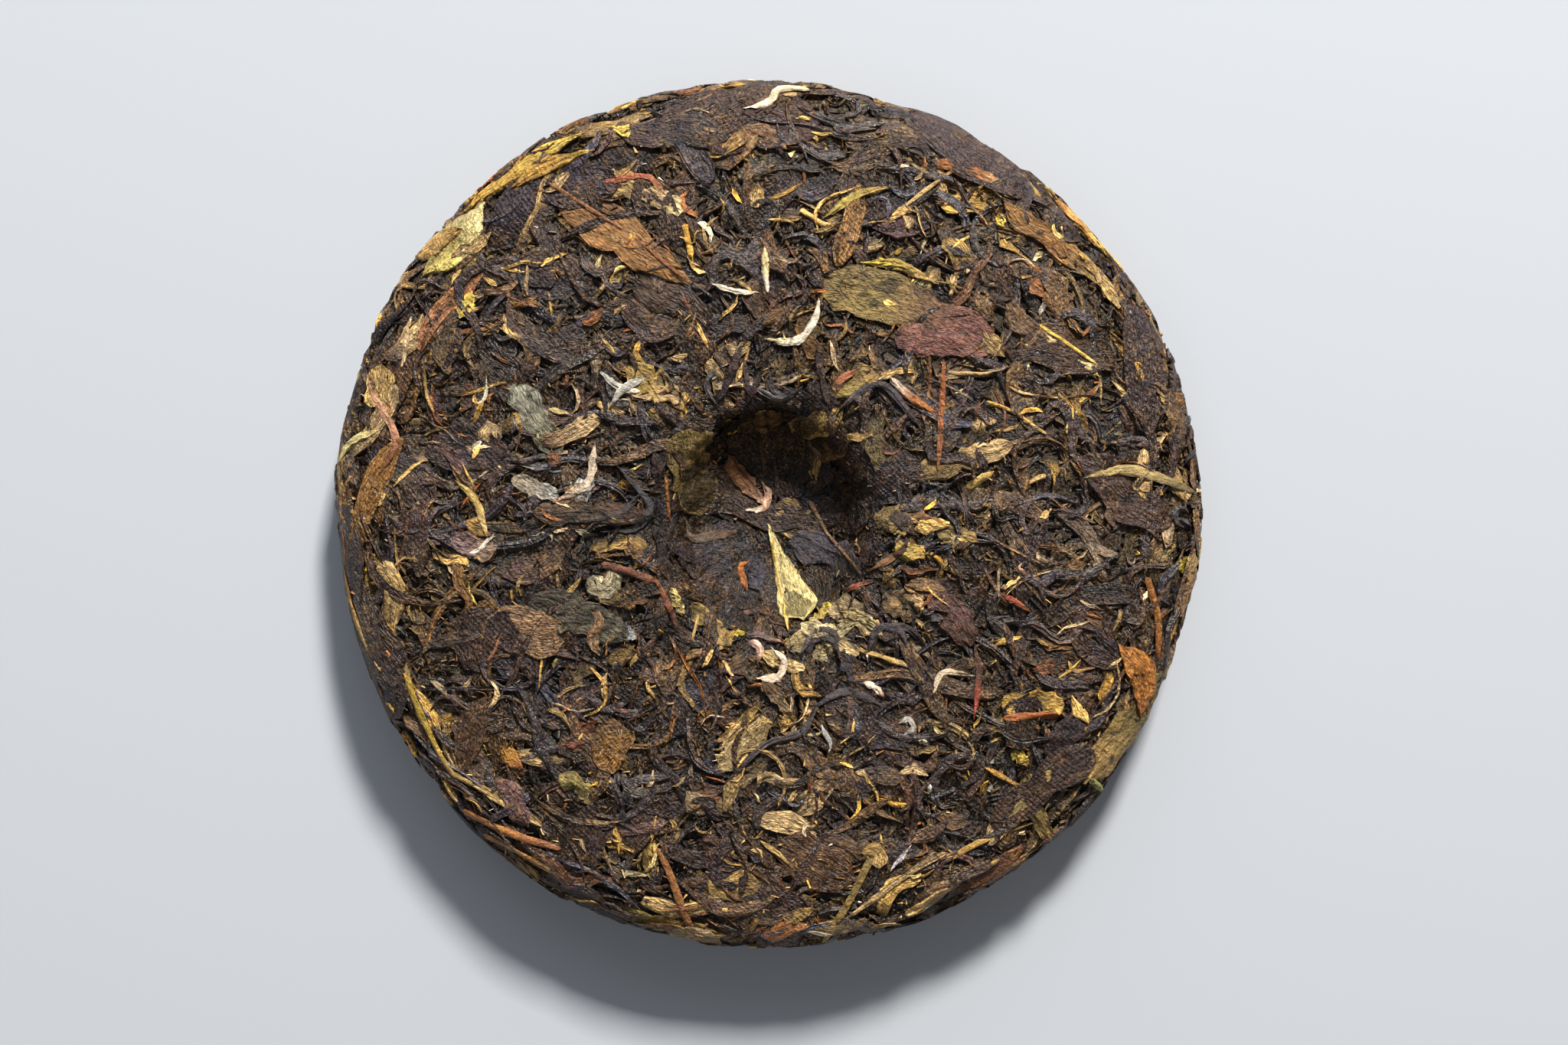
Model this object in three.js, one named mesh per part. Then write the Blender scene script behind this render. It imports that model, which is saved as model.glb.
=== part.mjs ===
// A pressed tea cake: tea leaves steamed in a cloth bag and pressed under a stone into a round disc.
// It lies on its smooth domed face, so its back is up, with the hollow that the knot of the bag left.
// Millimetres, +Z up. The origin is the middle of the foot, on the surface that the cake lies on.

import * as THREE from "three";

// Driving dimensions.
const CAKE_RADIUS = 100;
const CROWN_HEIGHT = 24; // the highest ring of the back, round the hollow
const SHOULDER_RADIUS = 87; // where the back starts to turn down into the rim
const SHOULDER_HEIGHT = 22;
const WAIST_HEIGHT = 11.5; // the widest level of the rim
const FACE_EDGE_RADIUS = 88; // where the rim meets the domed face
const FACE_EDGE_HEIGHT = 2.6;
// The pulls of the curves that round the rim off, outwards and down or up from their ends.
const SHOULDER_PULL = new THREE.Vector2(7, -0.7);
const WAIST_PULL_UP = 7;
const WAIST_PULL_DOWN = 5;
const FACE_EDGE_PULL = new THREE.Vector2(6, 1.4);
const FACE_SAG = 0.2; // the height of the face's middle control point
const FOOT_RADIUS = 62; // the flat middle of the face, which the cake rests on

// The hollow that the knot of the bag pressed into the back.
const HOLLOW_RADIUS = 25;
const HOLLOW_DEPTH = 15;
const LIP_RADIUS = 34; // the crest of the rounded lip
const FLOOR_PULL = 1.27; // how far out the floor of the hollow pulls, as a share of its radius
const WALL_PULL = 0.47; // and how far in the lip pulls: the more the two overlap, the steeper the wall
const KNOT_RADIUS = 8; // the pit under the knot itself
const MOUTH_REACH = 52; // the ring where the mouth's oval has died out
const HOLLOW_STRETCH = 0.06; // the mouth is longer along Y than along X by this share each way
const KNOT_SHIFT = new THREE.Vector2(0, 3); // the deepest point is off the axis
const MOUTH_SHIFT = new THREE.Vector2(0.2, -1.6); // and so is the mouth, the other way

// Unevenness of the pressed leaves.
const OUTLINE_WAVES = [
  { lobes: 2, height: 0.45, turn: -2.4 },
  { lobes: 3, height: 0.35, turn: 0.6 },
  { lobes: 5, height: 0.3, turn: 1.9 },
];
const BACK_LUMP = { height: 0.7, length: 13, seed: 7 };
const RIM_LUMP = { height: 1.1, length: 11, seed: 31 };
const RIM_BLEND = 3; // the full unevenness of the rim starts this far inside its edge
const BACK_BLEND = 6; // the height over which the rim turns into the back

// Creases that the folds of the bag left, from the mouth of the hollow outwards.
const CREASE_DEPTH = 1.1;
const CREASE_WIDTH = 2.6;
const CREASE_START = 0.5; // a crease starts on the wall, at this share of the hollow's radius
const CREASE_FADE = 0.7; // and it fades out from this share of its reach
const CREASES = [
  { angle: 8, bend: -4, reach: 78 },
  { angle: -19, bend: -8, reach: 70 },
  { angle: 70, bend: 6, reach: 64 },
  { angle: 118, bend: -6, reach: 56 },
  { angle: 186, bend: 5, reach: 62 },
  { angle: 232, bend: -7, reach: 54 },
  { angle: 292, bend: 8, reach: 58 },
];

const SECTORS = 96;
const STATIONS = { hollow: 10, crown: 9, rim: 11, face: 5 };

// 0 below low, 1 above high, and a smooth rise between them.
function rise(value, low, high) {
  return THREE.MathUtils.smoothstep(value, low, high);
}

// A repeatable random number from 0 to 1 for a point of the integer lattice.
function latticeValue(i, j, k) {
  const mixed = Math.sin(i * 127.1 + j * 311.7 + k * 74.7) * 43758.5453;
  return mixed - Math.floor(mixed);
}

// Smooth noise from -1 to 1 whose lumps are about one unit long.
function lumps(x, y, z) {
  const corner = [x, y, z].map(Math.floor);
  const share = [x, y, z].map((value, axis) => rise(value - corner[axis], 0, 1));
  let sum = 0;
  for (let n = 0; n < 8; n++) {
    const step = [n & 1, (n >> 1) & 1, n >> 2];
    const weight = share.reduce((w, s, axis) => w * (step[axis] ? s : 1 - s), 1);
    sum += weight * latticeValue(...corner.map((c, axis) => c + step[axis]));
  }
  return 2 * sum - 1;
}

// How far the pressed leaves stand up, or lie low, at a place.
function lumpAt(point, { height, length, seed }) {
  return height * lumps(point.x / length + seed, point.y / length + seed, point.z / length + seed);
}

// The half section from the bottom of the hollow, over the back and the rim, to the middle of the foot.
function sectionPoints() {
  const floor = CROWN_HEIGHT - HOLLOW_DEPTH;
  const hollow = new THREE.CubicBezierCurve(
    new THREE.Vector2(0, floor),
    new THREE.Vector2(HOLLOW_RADIUS * FLOOR_PULL, floor),
    new THREE.Vector2(HOLLOW_RADIUS * WALL_PULL, CROWN_HEIGHT),
    new THREE.Vector2(LIP_RADIUS, CROWN_HEIGHT),
  );
  const crown = new THREE.QuadraticBezierCurve(
    new THREE.Vector2(LIP_RADIUS, CROWN_HEIGHT),
    new THREE.Vector2((LIP_RADIUS + SHOULDER_RADIUS) / 2, CROWN_HEIGHT),
    new THREE.Vector2(SHOULDER_RADIUS, SHOULDER_HEIGHT),
  );
  const upperRim = new THREE.CubicBezierCurve(
    new THREE.Vector2(SHOULDER_RADIUS, SHOULDER_HEIGHT),
    new THREE.Vector2(SHOULDER_RADIUS + SHOULDER_PULL.x, SHOULDER_HEIGHT + SHOULDER_PULL.y),
    new THREE.Vector2(CAKE_RADIUS, WAIST_HEIGHT + WAIST_PULL_UP),
    new THREE.Vector2(CAKE_RADIUS, WAIST_HEIGHT),
  );
  const lowerRim = new THREE.CubicBezierCurve(
    new THREE.Vector2(CAKE_RADIUS, WAIST_HEIGHT),
    new THREE.Vector2(CAKE_RADIUS, WAIST_HEIGHT - WAIST_PULL_DOWN),
    new THREE.Vector2(FACE_EDGE_RADIUS + FACE_EDGE_PULL.x, FACE_EDGE_HEIGHT + FACE_EDGE_PULL.y),
    new THREE.Vector2(FACE_EDGE_RADIUS, FACE_EDGE_HEIGHT),
  );
  const face = new THREE.QuadraticBezierCurve(
    new THREE.Vector2(FACE_EDGE_RADIUS, FACE_EDGE_HEIGHT),
    new THREE.Vector2((FACE_EDGE_RADIUS + FOOT_RADIUS) / 2, FACE_SAG),
    new THREE.Vector2(FOOT_RADIUS, 0),
  );
  const stretches = [
    hollow.getSpacedPoints(STATIONS.hollow),
    crown.getSpacedPoints(STATIONS.crown),
    upperRim.getSpacedPoints(Math.ceil(STATIONS.rim / 2)),
    lowerRim.getSpacedPoints(Math.floor(STATIONS.rim / 2)),
    face.getSpacedPoints(STATIONS.face),
  ];
  const joined = stretches.flatMap((points, n) => (n ? points.slice(1) : points));
  return [...joined, new THREE.Vector2(0, 0)];
}

// How deep the creases of the bag are at a place on the back.
function creaseDepth(radius, angle) {
  let depth = 0;
  for (const crease of CREASES) {
    const starts = rise(radius, HOLLOW_RADIUS * CREASE_START, LIP_RADIUS);
    const along = starts * (1 - rise(radius, crease.reach * CREASE_FADE, crease.reach));
    const bent = crease.angle + (crease.bend * (radius - LIP_RADIUS)) / LIP_RADIUS;
    const turn = THREE.MathUtils.degToRad(bent) - angle;
    const aside = radius * Math.atan2(Math.sin(turn), Math.cos(turn));
    depth += CREASE_DEPTH * along * Math.exp(-((aside / CREASE_WIDTH) ** 2));
  }
  return depth;
}

// Moves a point of the round body to where it is on the uneven one.
function pressed(point) {
  const radius = Math.hypot(point.x, point.y);
  const angle = radius > 1e-6 ? Math.atan2(point.y, point.x) : 0;
  const onBack = rise(point.z, WAIST_HEIGHT, WAIST_HEIGHT + BACK_BLEND) + (radius < LIP_RADIUS ? 1 : 0);
  const back = Math.min(1, point.z > FACE_EDGE_HEIGHT ? onBack : 0);
  const rim = rise(radius, SHOULDER_RADIUS, CAKE_RADIUS - RIM_BLEND) * rise(point.z, 0, FACE_EDGE_HEIGHT * 2);

  // The hollow is oval, and its bottom is off to one side of its mouth.
  const mouth = back * rise(radius, KNOT_RADIUS, HOLLOW_RADIUS) * (1 - rise(radius, LIP_RADIUS, MOUTH_REACH));
  const knot = back * (1 - rise(radius, KNOT_RADIUS, HOLLOW_RADIUS));
  const shift = KNOT_SHIFT.clone().multiplyScalar(knot).addScaledVector(MOUTH_SHIFT, mouth);
  point.x += shift.x - point.x * HOLLOW_STRETCH * mouth;
  point.y += shift.y + point.y * HOLLOW_STRETCH * mouth;

  // The outline waves in and out, and the leaves stand up in lumps.
  const wavesHere = OUTLINE_WAVES.map((wave) => wave.height * Math.cos(wave.lobes * angle - wave.turn));
  const waves = wavesHere.reduce((sum, height) => sum + height, 0);
  const rimLump = lumpAt(point, RIM_LUMP);
  const backLump = lumpAt(point, BACK_LUMP);
  const outwards = rim * (waves + rimLump);
  point.x += outwards * Math.cos(angle);
  point.y += outwards * Math.sin(angle);
  point.z += back * (1 - rim) * (backLump - creaseDepth(radius, angle));
  return point;
}

// The whole cake, as one closed body.
function cakeGeometry() {
  const geometry = new THREE.LatheGeometry(sectionPoints().reverse(), SECTORS);
  geometry.rotateX(Math.PI / 2);
  const places = geometry.getAttribute("position");
  const point = new THREE.Vector3();
  for (let n = 0; n < places.count; n++) {
    pressed(point.fromBufferAttribute(places, n));
    places.setXYZ(n, point.x, point.y, point.z);
  }
  geometry.computeBoundingBox();
  const middle = geometry.boundingBox.getCenter(new THREE.Vector3());
  geometry.translate(-middle.x, -middle.y, 0);
  geometry.computeVertexNormals();
  return geometry;
}

const pressedLeaves = new THREE.MeshStandardMaterial({
  color: 0x4c3c2d,
  roughness: 0.72,
  metalness: 0,
});

const cake = new THREE.Mesh(cakeGeometry(), pressedLeaves);
cake.name = "tea_cake";

const part = new THREE.Group();
part.add(cake);

export default part;
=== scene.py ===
# %% [markdown]
# # A pressed tea cake
#
# Tea leaves are steamed in a cloth bag, the neck of the bag is twisted into a knot, and a stone presses the
# bag into a disc. The cake lies on its smooth face here, so its back is up, with the hollow that the knot
# left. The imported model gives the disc's exact size and place. It is loaded first and is never changed:
# everything below is laid on its surface.

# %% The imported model
import math

import bmesh
import bpy
import numpy as np
from mathutils.bvhtree import BVHTree
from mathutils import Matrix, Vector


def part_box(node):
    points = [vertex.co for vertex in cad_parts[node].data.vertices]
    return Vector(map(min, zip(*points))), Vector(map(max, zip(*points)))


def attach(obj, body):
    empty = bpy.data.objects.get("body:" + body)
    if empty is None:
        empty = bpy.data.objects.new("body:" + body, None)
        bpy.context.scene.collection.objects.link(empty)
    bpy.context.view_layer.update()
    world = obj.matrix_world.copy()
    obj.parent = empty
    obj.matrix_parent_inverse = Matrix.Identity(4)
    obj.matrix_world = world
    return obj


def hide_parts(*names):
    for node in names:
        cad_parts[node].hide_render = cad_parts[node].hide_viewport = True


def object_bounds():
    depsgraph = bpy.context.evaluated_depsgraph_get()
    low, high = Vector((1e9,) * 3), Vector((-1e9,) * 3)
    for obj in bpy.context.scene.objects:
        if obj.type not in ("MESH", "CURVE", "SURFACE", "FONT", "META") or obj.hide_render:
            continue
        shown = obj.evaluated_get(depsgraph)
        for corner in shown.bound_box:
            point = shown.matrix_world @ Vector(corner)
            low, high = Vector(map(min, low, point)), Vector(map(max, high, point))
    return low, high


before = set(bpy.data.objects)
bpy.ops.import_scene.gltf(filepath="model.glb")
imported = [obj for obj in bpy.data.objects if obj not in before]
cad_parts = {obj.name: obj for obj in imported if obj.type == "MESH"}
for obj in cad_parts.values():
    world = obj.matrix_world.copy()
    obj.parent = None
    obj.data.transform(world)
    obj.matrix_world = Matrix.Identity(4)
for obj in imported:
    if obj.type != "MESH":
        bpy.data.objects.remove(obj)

MM = 0.001
cad_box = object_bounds()
lowest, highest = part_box("tea_cake")
cake_radius = (highest.x - lowest.x) / 2 / MM
crown_height = highest.z / MM
print(f"the disc is {2 * cake_radius:.1f} mm across and {crown_height:.1f} mm thick")


# %% [markdown]
# ## The skin of the disc, laid out flat
#
# Thousands of leaves lie on this disc, each bent to its surface. The shrinkwrap modifier could bend them, but
# it knows nothing of leaves that lie on other leaves. So the skin is measured once with rays, from the bottom
# of the hollow over the back and round the rim to the middle of the face, and kept as a table. A leaf is then
# laid out on a flat chart, as on a table top, and the table says where each of its points is on the cake.

# %% Rays round the half section of the disc
TURNS = 240  # half sections round the axis
RIM_PIVOT = (84.0, 11.5)  # the middle of the rim's rounding, in mm from the axis and from the foot
FAR = 60.0  # mm from the skin at which rays start


def select_only(thing):
    bpy.ops.object.select_all(action="DESELECT")
    thing.select_set(True)
    bpy.context.view_layer.objects.active = thing


def merged_copy(node, name):
    """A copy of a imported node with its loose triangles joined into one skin."""
    copy = bpy.data.objects.new(name, node.data.copy())
    bpy.context.scene.collection.objects.link(copy)
    copy.data.materials.clear()
    select_only(copy)
    bpy.ops.object.mode_set(mode="EDIT")
    bpy.ops.mesh.select_all(action="SELECT")
    bpy.ops.mesh.remove_doubles(threshold=1e-6)
    bpy.ops.object.mode_set(mode="OBJECT")
    return copy


core = merged_copy(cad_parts["tea_cake"], "tea_core")
corners = [v.co for v in core.data.vertices]
tree = BVHTree.FromPolygons(corners, [tuple(p.vertices) for p in core.data.polygons])

back_rays = [((r, FAR), (0.0, -1.0)) for r in np.arange(0.0, RIM_PIVOT[0], 1.0)]
rim_turns = np.radians(np.arange(90.0, -91.0, -6.0))
rim_rays = [
    ((RIM_PIVOT[0] + FAR * math.cos(a), RIM_PIVOT[1] + FAR * math.sin(a)), (-math.cos(a), -math.sin(a)))
    for a in rim_turns
]
face_rays = [((r, -FAR), (0.0, 1.0)) for r in np.arange(RIM_PIVOT[0] - 1.0, -0.5, -1.0)]
section_rays = back_rays + rim_rays + face_rays


def half_section(turn):
    """Radius and height, in mm, where the rays of one half section meet the disc."""
    across, along = math.cos(turn), math.sin(turn)
    met = []
    for (start, level), (aim, rise) in section_rays:
        origin = (start * across * MM, start * along * MM, level * MM)
        place = tree.ray_cast(origin, (aim * across, aim * along, rise))[0]
        met.append((place.x * across + place.y * along, place.z))
    return np.array(met) / MM


turns = np.arange(TURNS) * 2 * np.pi / TURNS
sections = [half_section(t) for t in turns]
print(f"{TURNS} half sections of {len(section_rays)} points each")

# %% From rays to a table with a station at each millimetre of the skin
BACK_REACH = 124  # mm along the skin from the bottom of the hollow to the edge of the face
FACE_REACH = 96  # mm from the middle of the foot to a little way up the rim
SPARE = 8  # mm added at both ends of a section, so that smoothing doesn't pull its ends in


def bell(spread):
    """Weights of a smoothing window, for a spread in samples."""
    steps = np.arange(-int(3 * spread) - 1, int(3 * spread) + 2)
    weights = np.exp(-0.5 * (steps / spread) ** 2)
    return weights / weights.sum()


def stations(points, reach):
    """Points along a section, one for each mm from its first point, with the facets smoothed away."""
    steps = np.hypot(*np.diff(points, axis=0).T)
    way = np.concatenate([[0.0], np.cumsum(steps)])
    at = np.arange(-SPARE, reach + SPARE + 1.0)
    radius = np.interp(np.abs(at), way, points[:, 0]) * np.where(at < 0, -1, 1)
    height = np.interp(np.abs(at), way, points[:, 1])
    window = bell(1.3)
    pair = [np.convolve(line, window, mode="same")[SPARE:-SPARE] for line in (radius, height)]
    return np.array(pair)


def round_smooth(table):
    """The same table with neighbouring half sections blended."""
    window = bell(1.2)
    middle = len(window) // 2
    return sum(w * np.roll(table, n - middle, axis=0) for n, w in enumerate(window))


# %% One side of the cake as a flat chart
class Side:
    """One side of the cake laid out flat. A point of the chart is as far from the chart's middle as the
    matching point of the skin is from the pole, along the skin."""

    def __init__(self, sections, reach, facing):
        table = round_smooth(np.array([stations(s, reach) for s in sections]))
        radius, height = table[:, 0], table[:, 1]
        radius_out = np.gradient(radius, axis=1)
        height_out = np.gradient(height, axis=1)
        radius_round = (np.roll(radius, -1, 0) - np.roll(radius, 1, 0)) * TURNS / (4 * np.pi)
        height_round = (np.roll(height, -1, 0) - np.roll(height, 1, 0)) * TURNS / (4 * np.pi)
        wide = np.maximum(radius, 2.0)
        normal = np.stack([-height_out * wide, height_out * radius_round - radius_out * height_round,
                           radius_out * wide])
        normal[:, :, 0] = normal[:, :, 0].mean(axis=1, keepdims=True) * np.array([[0], [0], [1]])
        normal *= facing / np.linalg.norm(normal, axis=0)
        self.facing = facing
        self.reach = reach
        self.table = np.stack([radius, height, *normal], axis=-1)

    def read(self, x, y):
        """Radius, height and the three parts of the normal at chart points, and the angle round the axis."""
        out = np.clip(np.hypot(x, y), 0, self.reach - 0.01)
        turn = np.arctan2(y, x) * self.facing
        row = (turn / (2 * np.pi) * TURNS) % TURNS
        i, j = row.astype(int) % TURNS, out.astype(int)
        f, g = (row - np.floor(row))[..., None], (out - j)[..., None]
        near = self.table[i, j] * (1 - g) + self.table[i, j + 1] * g
        after = (i + 1) % TURNS
        far = self.table[after, j] * (1 - g) + self.table[after, j + 1] * g
        return np.moveaxis(near * (1 - f) + far * f, -1, 0), turn

    def place(self, x, y, lift):
        """Points of the cake, in mm, at chart points and that far outside the skin."""
        (radius, height, out, round_, up), turn = self.read(x, y)
        across, along = np.cos(turn), np.sin(turn)
        r, t = radius + lift * out, lift * round_
        return np.stack([r * across - t * along, r * along + t * across, height + lift * up], axis=-1)

    def tightness(self, x, y):
        """How much shorter a step round the axis is on the cake than on the chart."""
        (radius, *_), _ = self.read(x, y)
        return np.clip(radius / np.maximum(np.hypot(x, y), 1.0), 0.6, 1.0)

    def chart_of(self, x, y):
        """The chart point of a place on the cake that is given in plan, in mm."""
        turn = math.atan2(y, x) * self.facing
        row = int(round(turn / (2 * np.pi) * TURNS)) % TURNS
        radius = self.table[row, :, 0]
        widest = int(radius.argmax())
        out = np.interp(math.hypot(x, y), radius[: widest + 1], np.arange(widest + 1))
        chart_turn = math.atan2(y, x)
        return out * math.cos(chart_turn), out * math.sin(chart_turn) * self.facing


back = Side(sections, BACK_REACH, 1)
face = Side([s[::-1] for s in sections], FACE_REACH, -1)
print(f"the rim's lower edge on the chart of the back lies {back.table[0, -1, 0]:.1f} mm from the axis")

# %% [markdown]
# ## Forms of leaf
#
# A few forms are modelled, each as a small closed tube: a cylinder whose side is cut into rings,
# whose section is pushed into shape one lengthwise line at a time, and whose rings are then scaled to the
# outline. Lengths run from -0.5 to 0.5, widths from -1 to 1, and heights from 0 to about 1, so that one form
# serves for leaves of every size. The forms with hundreds of copies have from 16 to 112 faces each. The few
# broad leaves that are laid one by one have 320, so that they can drape.


# %% Helpers that shape a tube in edit mode
TIP = 0.04  # how far the middles of a tube's ends stand out, as a share of its length


def pick(form, test):
    """Selects the vertices that pass a test, in edit mode."""
    bpy.ops.mesh.select_mode(type="VERT")
    bpy.ops.mesh.select_all(action="DESELECT")
    net = bmesh.from_edit_mesh(form.data)
    for v in net.verts:
        v.select = test(v)
    net.select_flush_mode()
    bmesh.update_edit_mesh(form.data)


def tube(sides, rings):
    """A closed tube along X with that many rings, in edit mode."""
    bpy.ops.object.select_all(action="DESELECT")
    bpy.ops.mesh.primitive_cylinder_add(
        vertices=sides, radius=1.0, depth=1.0, end_fill_type="TRIFAN", rotation=(0, math.radians(90), 0)
    )
    form = bpy.context.object
    bpy.ops.object.transform_apply(location=False, rotation=True, scale=False)
    bpy.ops.object.mode_set(mode="EDIT")
    bpy.ops.mesh.select_mode(type="EDGE")
    bpy.ops.mesh.select_all(action="DESELECT")
    net = bmesh.from_edit_mesh(form.data)
    for edge in net.edges:
        edge.select = abs(edge.verts[0].co.x - edge.verts[1].co.x) > 0.5
    bmesh.update_edit_mesh(form.data)
    if rings > 2:
        bpy.ops.mesh.subdivide(number_cuts=rings - 2)
    return form


# %% Modelling a form
def form_of(name, section, outline, thickness):
    """Models one form. section lists (width, height) from the left edge over the top to the right edge.
    outline and thickness list the share of the full width and height at each ring."""
    form = tube(len(section), len(outline))
    net = bmesh.from_edit_mesh(form.data)

    def line_of(v):
        if math.hypot(v.co.y, v.co.z) < 0.5:
            return -1
        turn = math.atan2(v.co.z, -v.co.y) / (2 * math.pi) % 1
        return int(turn * len(section) + 0.01) % len(section)

    numbers = {v.index: line_of(v) for v in net.verts}
    for n, (width, height) in enumerate(section):
        pick(form, lambda v: numbers[v.index] == n)
        here = [v.co.copy() for v in bmesh.from_edit_mesh(form.data).verts if v.select][0]
        bpy.ops.transform.translate(value=(0, width - here.y, height - here.z))
    pick(form, lambda v: numbers[v.index] == -1)
    bpy.ops.transform.translate(value=(0, 0, 0.35))
    for n, (width, height) in enumerate(zip(outline, thickness)):
        ring = n / (len(outline) - 1) - 0.5
        pick(form, lambda v: abs(v.co.x - ring) < 1e-4)
        bpy.ops.transform.resize(value=(1, width, height), center_override=(0, 0, 0))
    for end in (-1, 1):
        pick(form, lambda v: numbers[v.index] == -1 and v.co.x * end > 0)
        bpy.ops.transform.translate(value=(end * TIP, 0, 0))
    bpy.ops.mesh.select_all(action="SELECT")
    bpy.ops.mesh.quads_convert_to_tris(quad_method="FIXED")
    bpy.ops.mesh.normals_make_consistent(inside=False)
    bpy.ops.object.mode_set(mode="OBJECT")
    mesh = form.data
    points = np.array([v.co[:] for v in mesh.vertices])
    # On the texture each leaf has a cell of its own: its upper side fills most of it, and its underside has
    # a narrow strip at the edge.
    last = len(section) - 1
    folds_back = section[last][0] < section[last - 1][0]
    cell = np.zeros((len(mesh.polygons), 3, 2))
    for polygon in mesh.polygons:
        here = [numbers[v] for v in polygon.vertices if numbers[v] >= 0]
        under = max(here) - min(here) > 1 or (folds_back and last in here)
        for corner, v in enumerate(polygon.vertices):
            share = (section[numbers[v]][0] + 1) / 2 if numbers[v] >= 0 else 0.5
            across = 0.02 + 0.07 * share if under else 0.13 + 0.84 * share
            cell[polygon.index, corner] = (0.04 + 0.92 * (points[v, 0] + 0.56) / 1.12, across)
    made = {
        "name": name,
        "cell": cell,
        "along": points[:, 0] + 0.5,
        "width": points[:, 1],
        "height": points[:, 2],
        "faces": np.array([p.vertices[:] for p in mesh.polygons]),
        "outline": np.array(outline, float),
        "thickness": np.array(thickness, float),
        "round": section[0][1] > 0,
    }
    bpy.data.objects.remove(form)
    print(f"{name}: {len(points)} vertices and {len(made['faces'])} faces")
    return made


# %% The forms with many copies
blade = form_of(
    "blade",
    section=[(-1, 0), (-0.94, 1.0), (-0.6, 0.66), (-0.05, 0.95), (0.5, 0.6), (0.92, 0.9), (1, 0)],
    outline=[0.5, 0.8, 0.95, 1.0, 0.94, 0.98, 0.85, 0.5],
    thickness=[0.7, 1, 1, 1, 1, 1, 1, 0.7],
)
shard = form_of(
    "shard",
    section=[(-1, 0), (-0.9, 0.9), (0, 1.0), (0.9, 0.85), (1, 0)],
    outline=[0.45, 0.95, 1.0, 0.8, 0.3],
    thickness=[0.8, 1, 1, 1, 0.8],
)
rolled = form_of(
    "rolled leaf",
    section=[(-1, 0.16), (-0.58, 0.86), (-0.02, 0.6), (0.46, 1.0), (1, 0.2)],
    outline=[0.5, 0.8, 0.95, 1.0, 0.95, 1.0, 0.9, 0.75, 0.45],
    thickness=[0.5, 0.8, 1, 1, 1, 1, 0.9, 0.75, 0.5],
)
folded = form_of(
    "folded leaf",
    section=[(-1, 0), (-0.9, 0.9), (-0.42, 1.0), (0.12, 0.42), (0.86, 0.55), (1, 0)],
    outline=[0.55, 0.8, 1.0, 0.95, 1.0, 0.9, 0.8, 0.5],
    thickness=[0.6, 0.9, 1, 1, 1, 1, 0.85, 0.6],
)
stem = form_of(
    "stem",
    section=[(-1, 0.3), (-0.5, 0.9), (0.4, 1.0), (1, 0.4), (0, 0.0)],
    outline=[1.0, 0.86, 0.9, 0.84, 0.9, 0.95, 0.7],
    thickness=[1, 0.9, 0.9, 0.86, 0.9, 0.9, 0.7],
)
bud = form_of(
    "bud",
    section=[(-1, 0.25), (-0.6, 0.85), (0.1, 1.0), (0.7, 0.8), (1, 0.25)],
    outline=[0.35, 0.7, 0.95, 1.0, 0.9, 0.7, 0.42, 0.14],
    thickness=[0.5, 0.8, 1, 1, 0.95, 0.8, 0.55, 0.25],
)
crumb = form_of(
    "crumb",
    section=[(-1, 0), (-0.6, 0.9), (0.5, 1.0), (1, 0)],
    outline=[0.5, 1.0, 0.45],
    thickness=[0.7, 1, 0.7],
)
grit = form_of(
    "grit",
    section=[(-1, 0), (-0.4, 0.9), (0.6, 1.0), (1, 0)],
    outline=[0.8, 0.55],
    thickness=[1, 0.8],
)
twisted = form_of(
    "twisted leaf",
    section=[(-1, 0.16), (-0.5, 0.9), (0.0, 0.6), (0.55, 1.0), (1, 0.2)],
    outline=[0.35, 0.65, 0.88, 1, 0.94, 0.98, 1, 0.95, 0.86, 0.66, 0.35],
    thickness=[0.45, 0.7, 0.9, 1, 1, 1, 1, 1, 0.9, 0.7, 0.45],
)

# %% Forms of the leaves that are laid one by one
broad_half = [(-1, 0), (-0.95, 0.8), (-0.66, 1.0), (-0.34, 0.8)]
broad_other = [(0.34, 0.8), (0.66, 1.0), (0.95, 0.8), (1, 0)]
broad_section = [*broad_half, (-0.07, 1.0), (0.07, 1.0), *broad_other]
broad_thickness = [0.7, 0.9, *[1] * 12, 0.9, 0.6]
large_leaf = form_of(
    "large leaf",
    section=[*broad_half, (-0.07, 1.15), (0.07, 1.15), *broad_other],
    outline=[0.1, 0.34, 0.56, 0.74, 0.87, 0.95, 0.99, 1, 0.98, 0.93, 0.85, 0.74, 0.6, 0.44, 0.26, 0.06],
    thickness=broad_thickness,
)
patch = form_of(
    "patch",
    section=broad_section,
    outline=[0.5, 0.78, 0.9, 0.98, 1, 0.97, 0.92, 0.96, 1, 0.96, 0.9, 0.86, 0.84, 0.76, 0.62, 0.4],
    thickness=broad_thickness,
)
wedge = form_of(
    "wedge",
    section=broad_section,
    outline=[0.05, 0.09, 0.14, 0.2, 0.26, 0.33, 0.4, 0.48, 0.56, 0.64, 0.72, 0.8, 0.88, 0.95, 1, 0.96],
    thickness=broad_thickness,
)
long_strand = form_of(
    "long strand",
    section=[(-1, 0.16), (-0.66, 0.8), (-0.2, 0.62), (0.2, 1.0), (0.66, 0.7), (1, 0.2), (0, 0)],
    outline=[0.25, 0.5, 0.72, 0.88, 0.96, 1, 0.98, 0.92, 0.97, 1, 0.98, 0.94, 0.88, 0.8, 0.68, 0.48, 0.2],
    thickness=[0.4, 0.6, 0.8, 0.92, 1, 1, 1, 1, 1, 1, 1, 1, 0.92, 0.84, 0.7, 0.5, 0.3],
)

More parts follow.
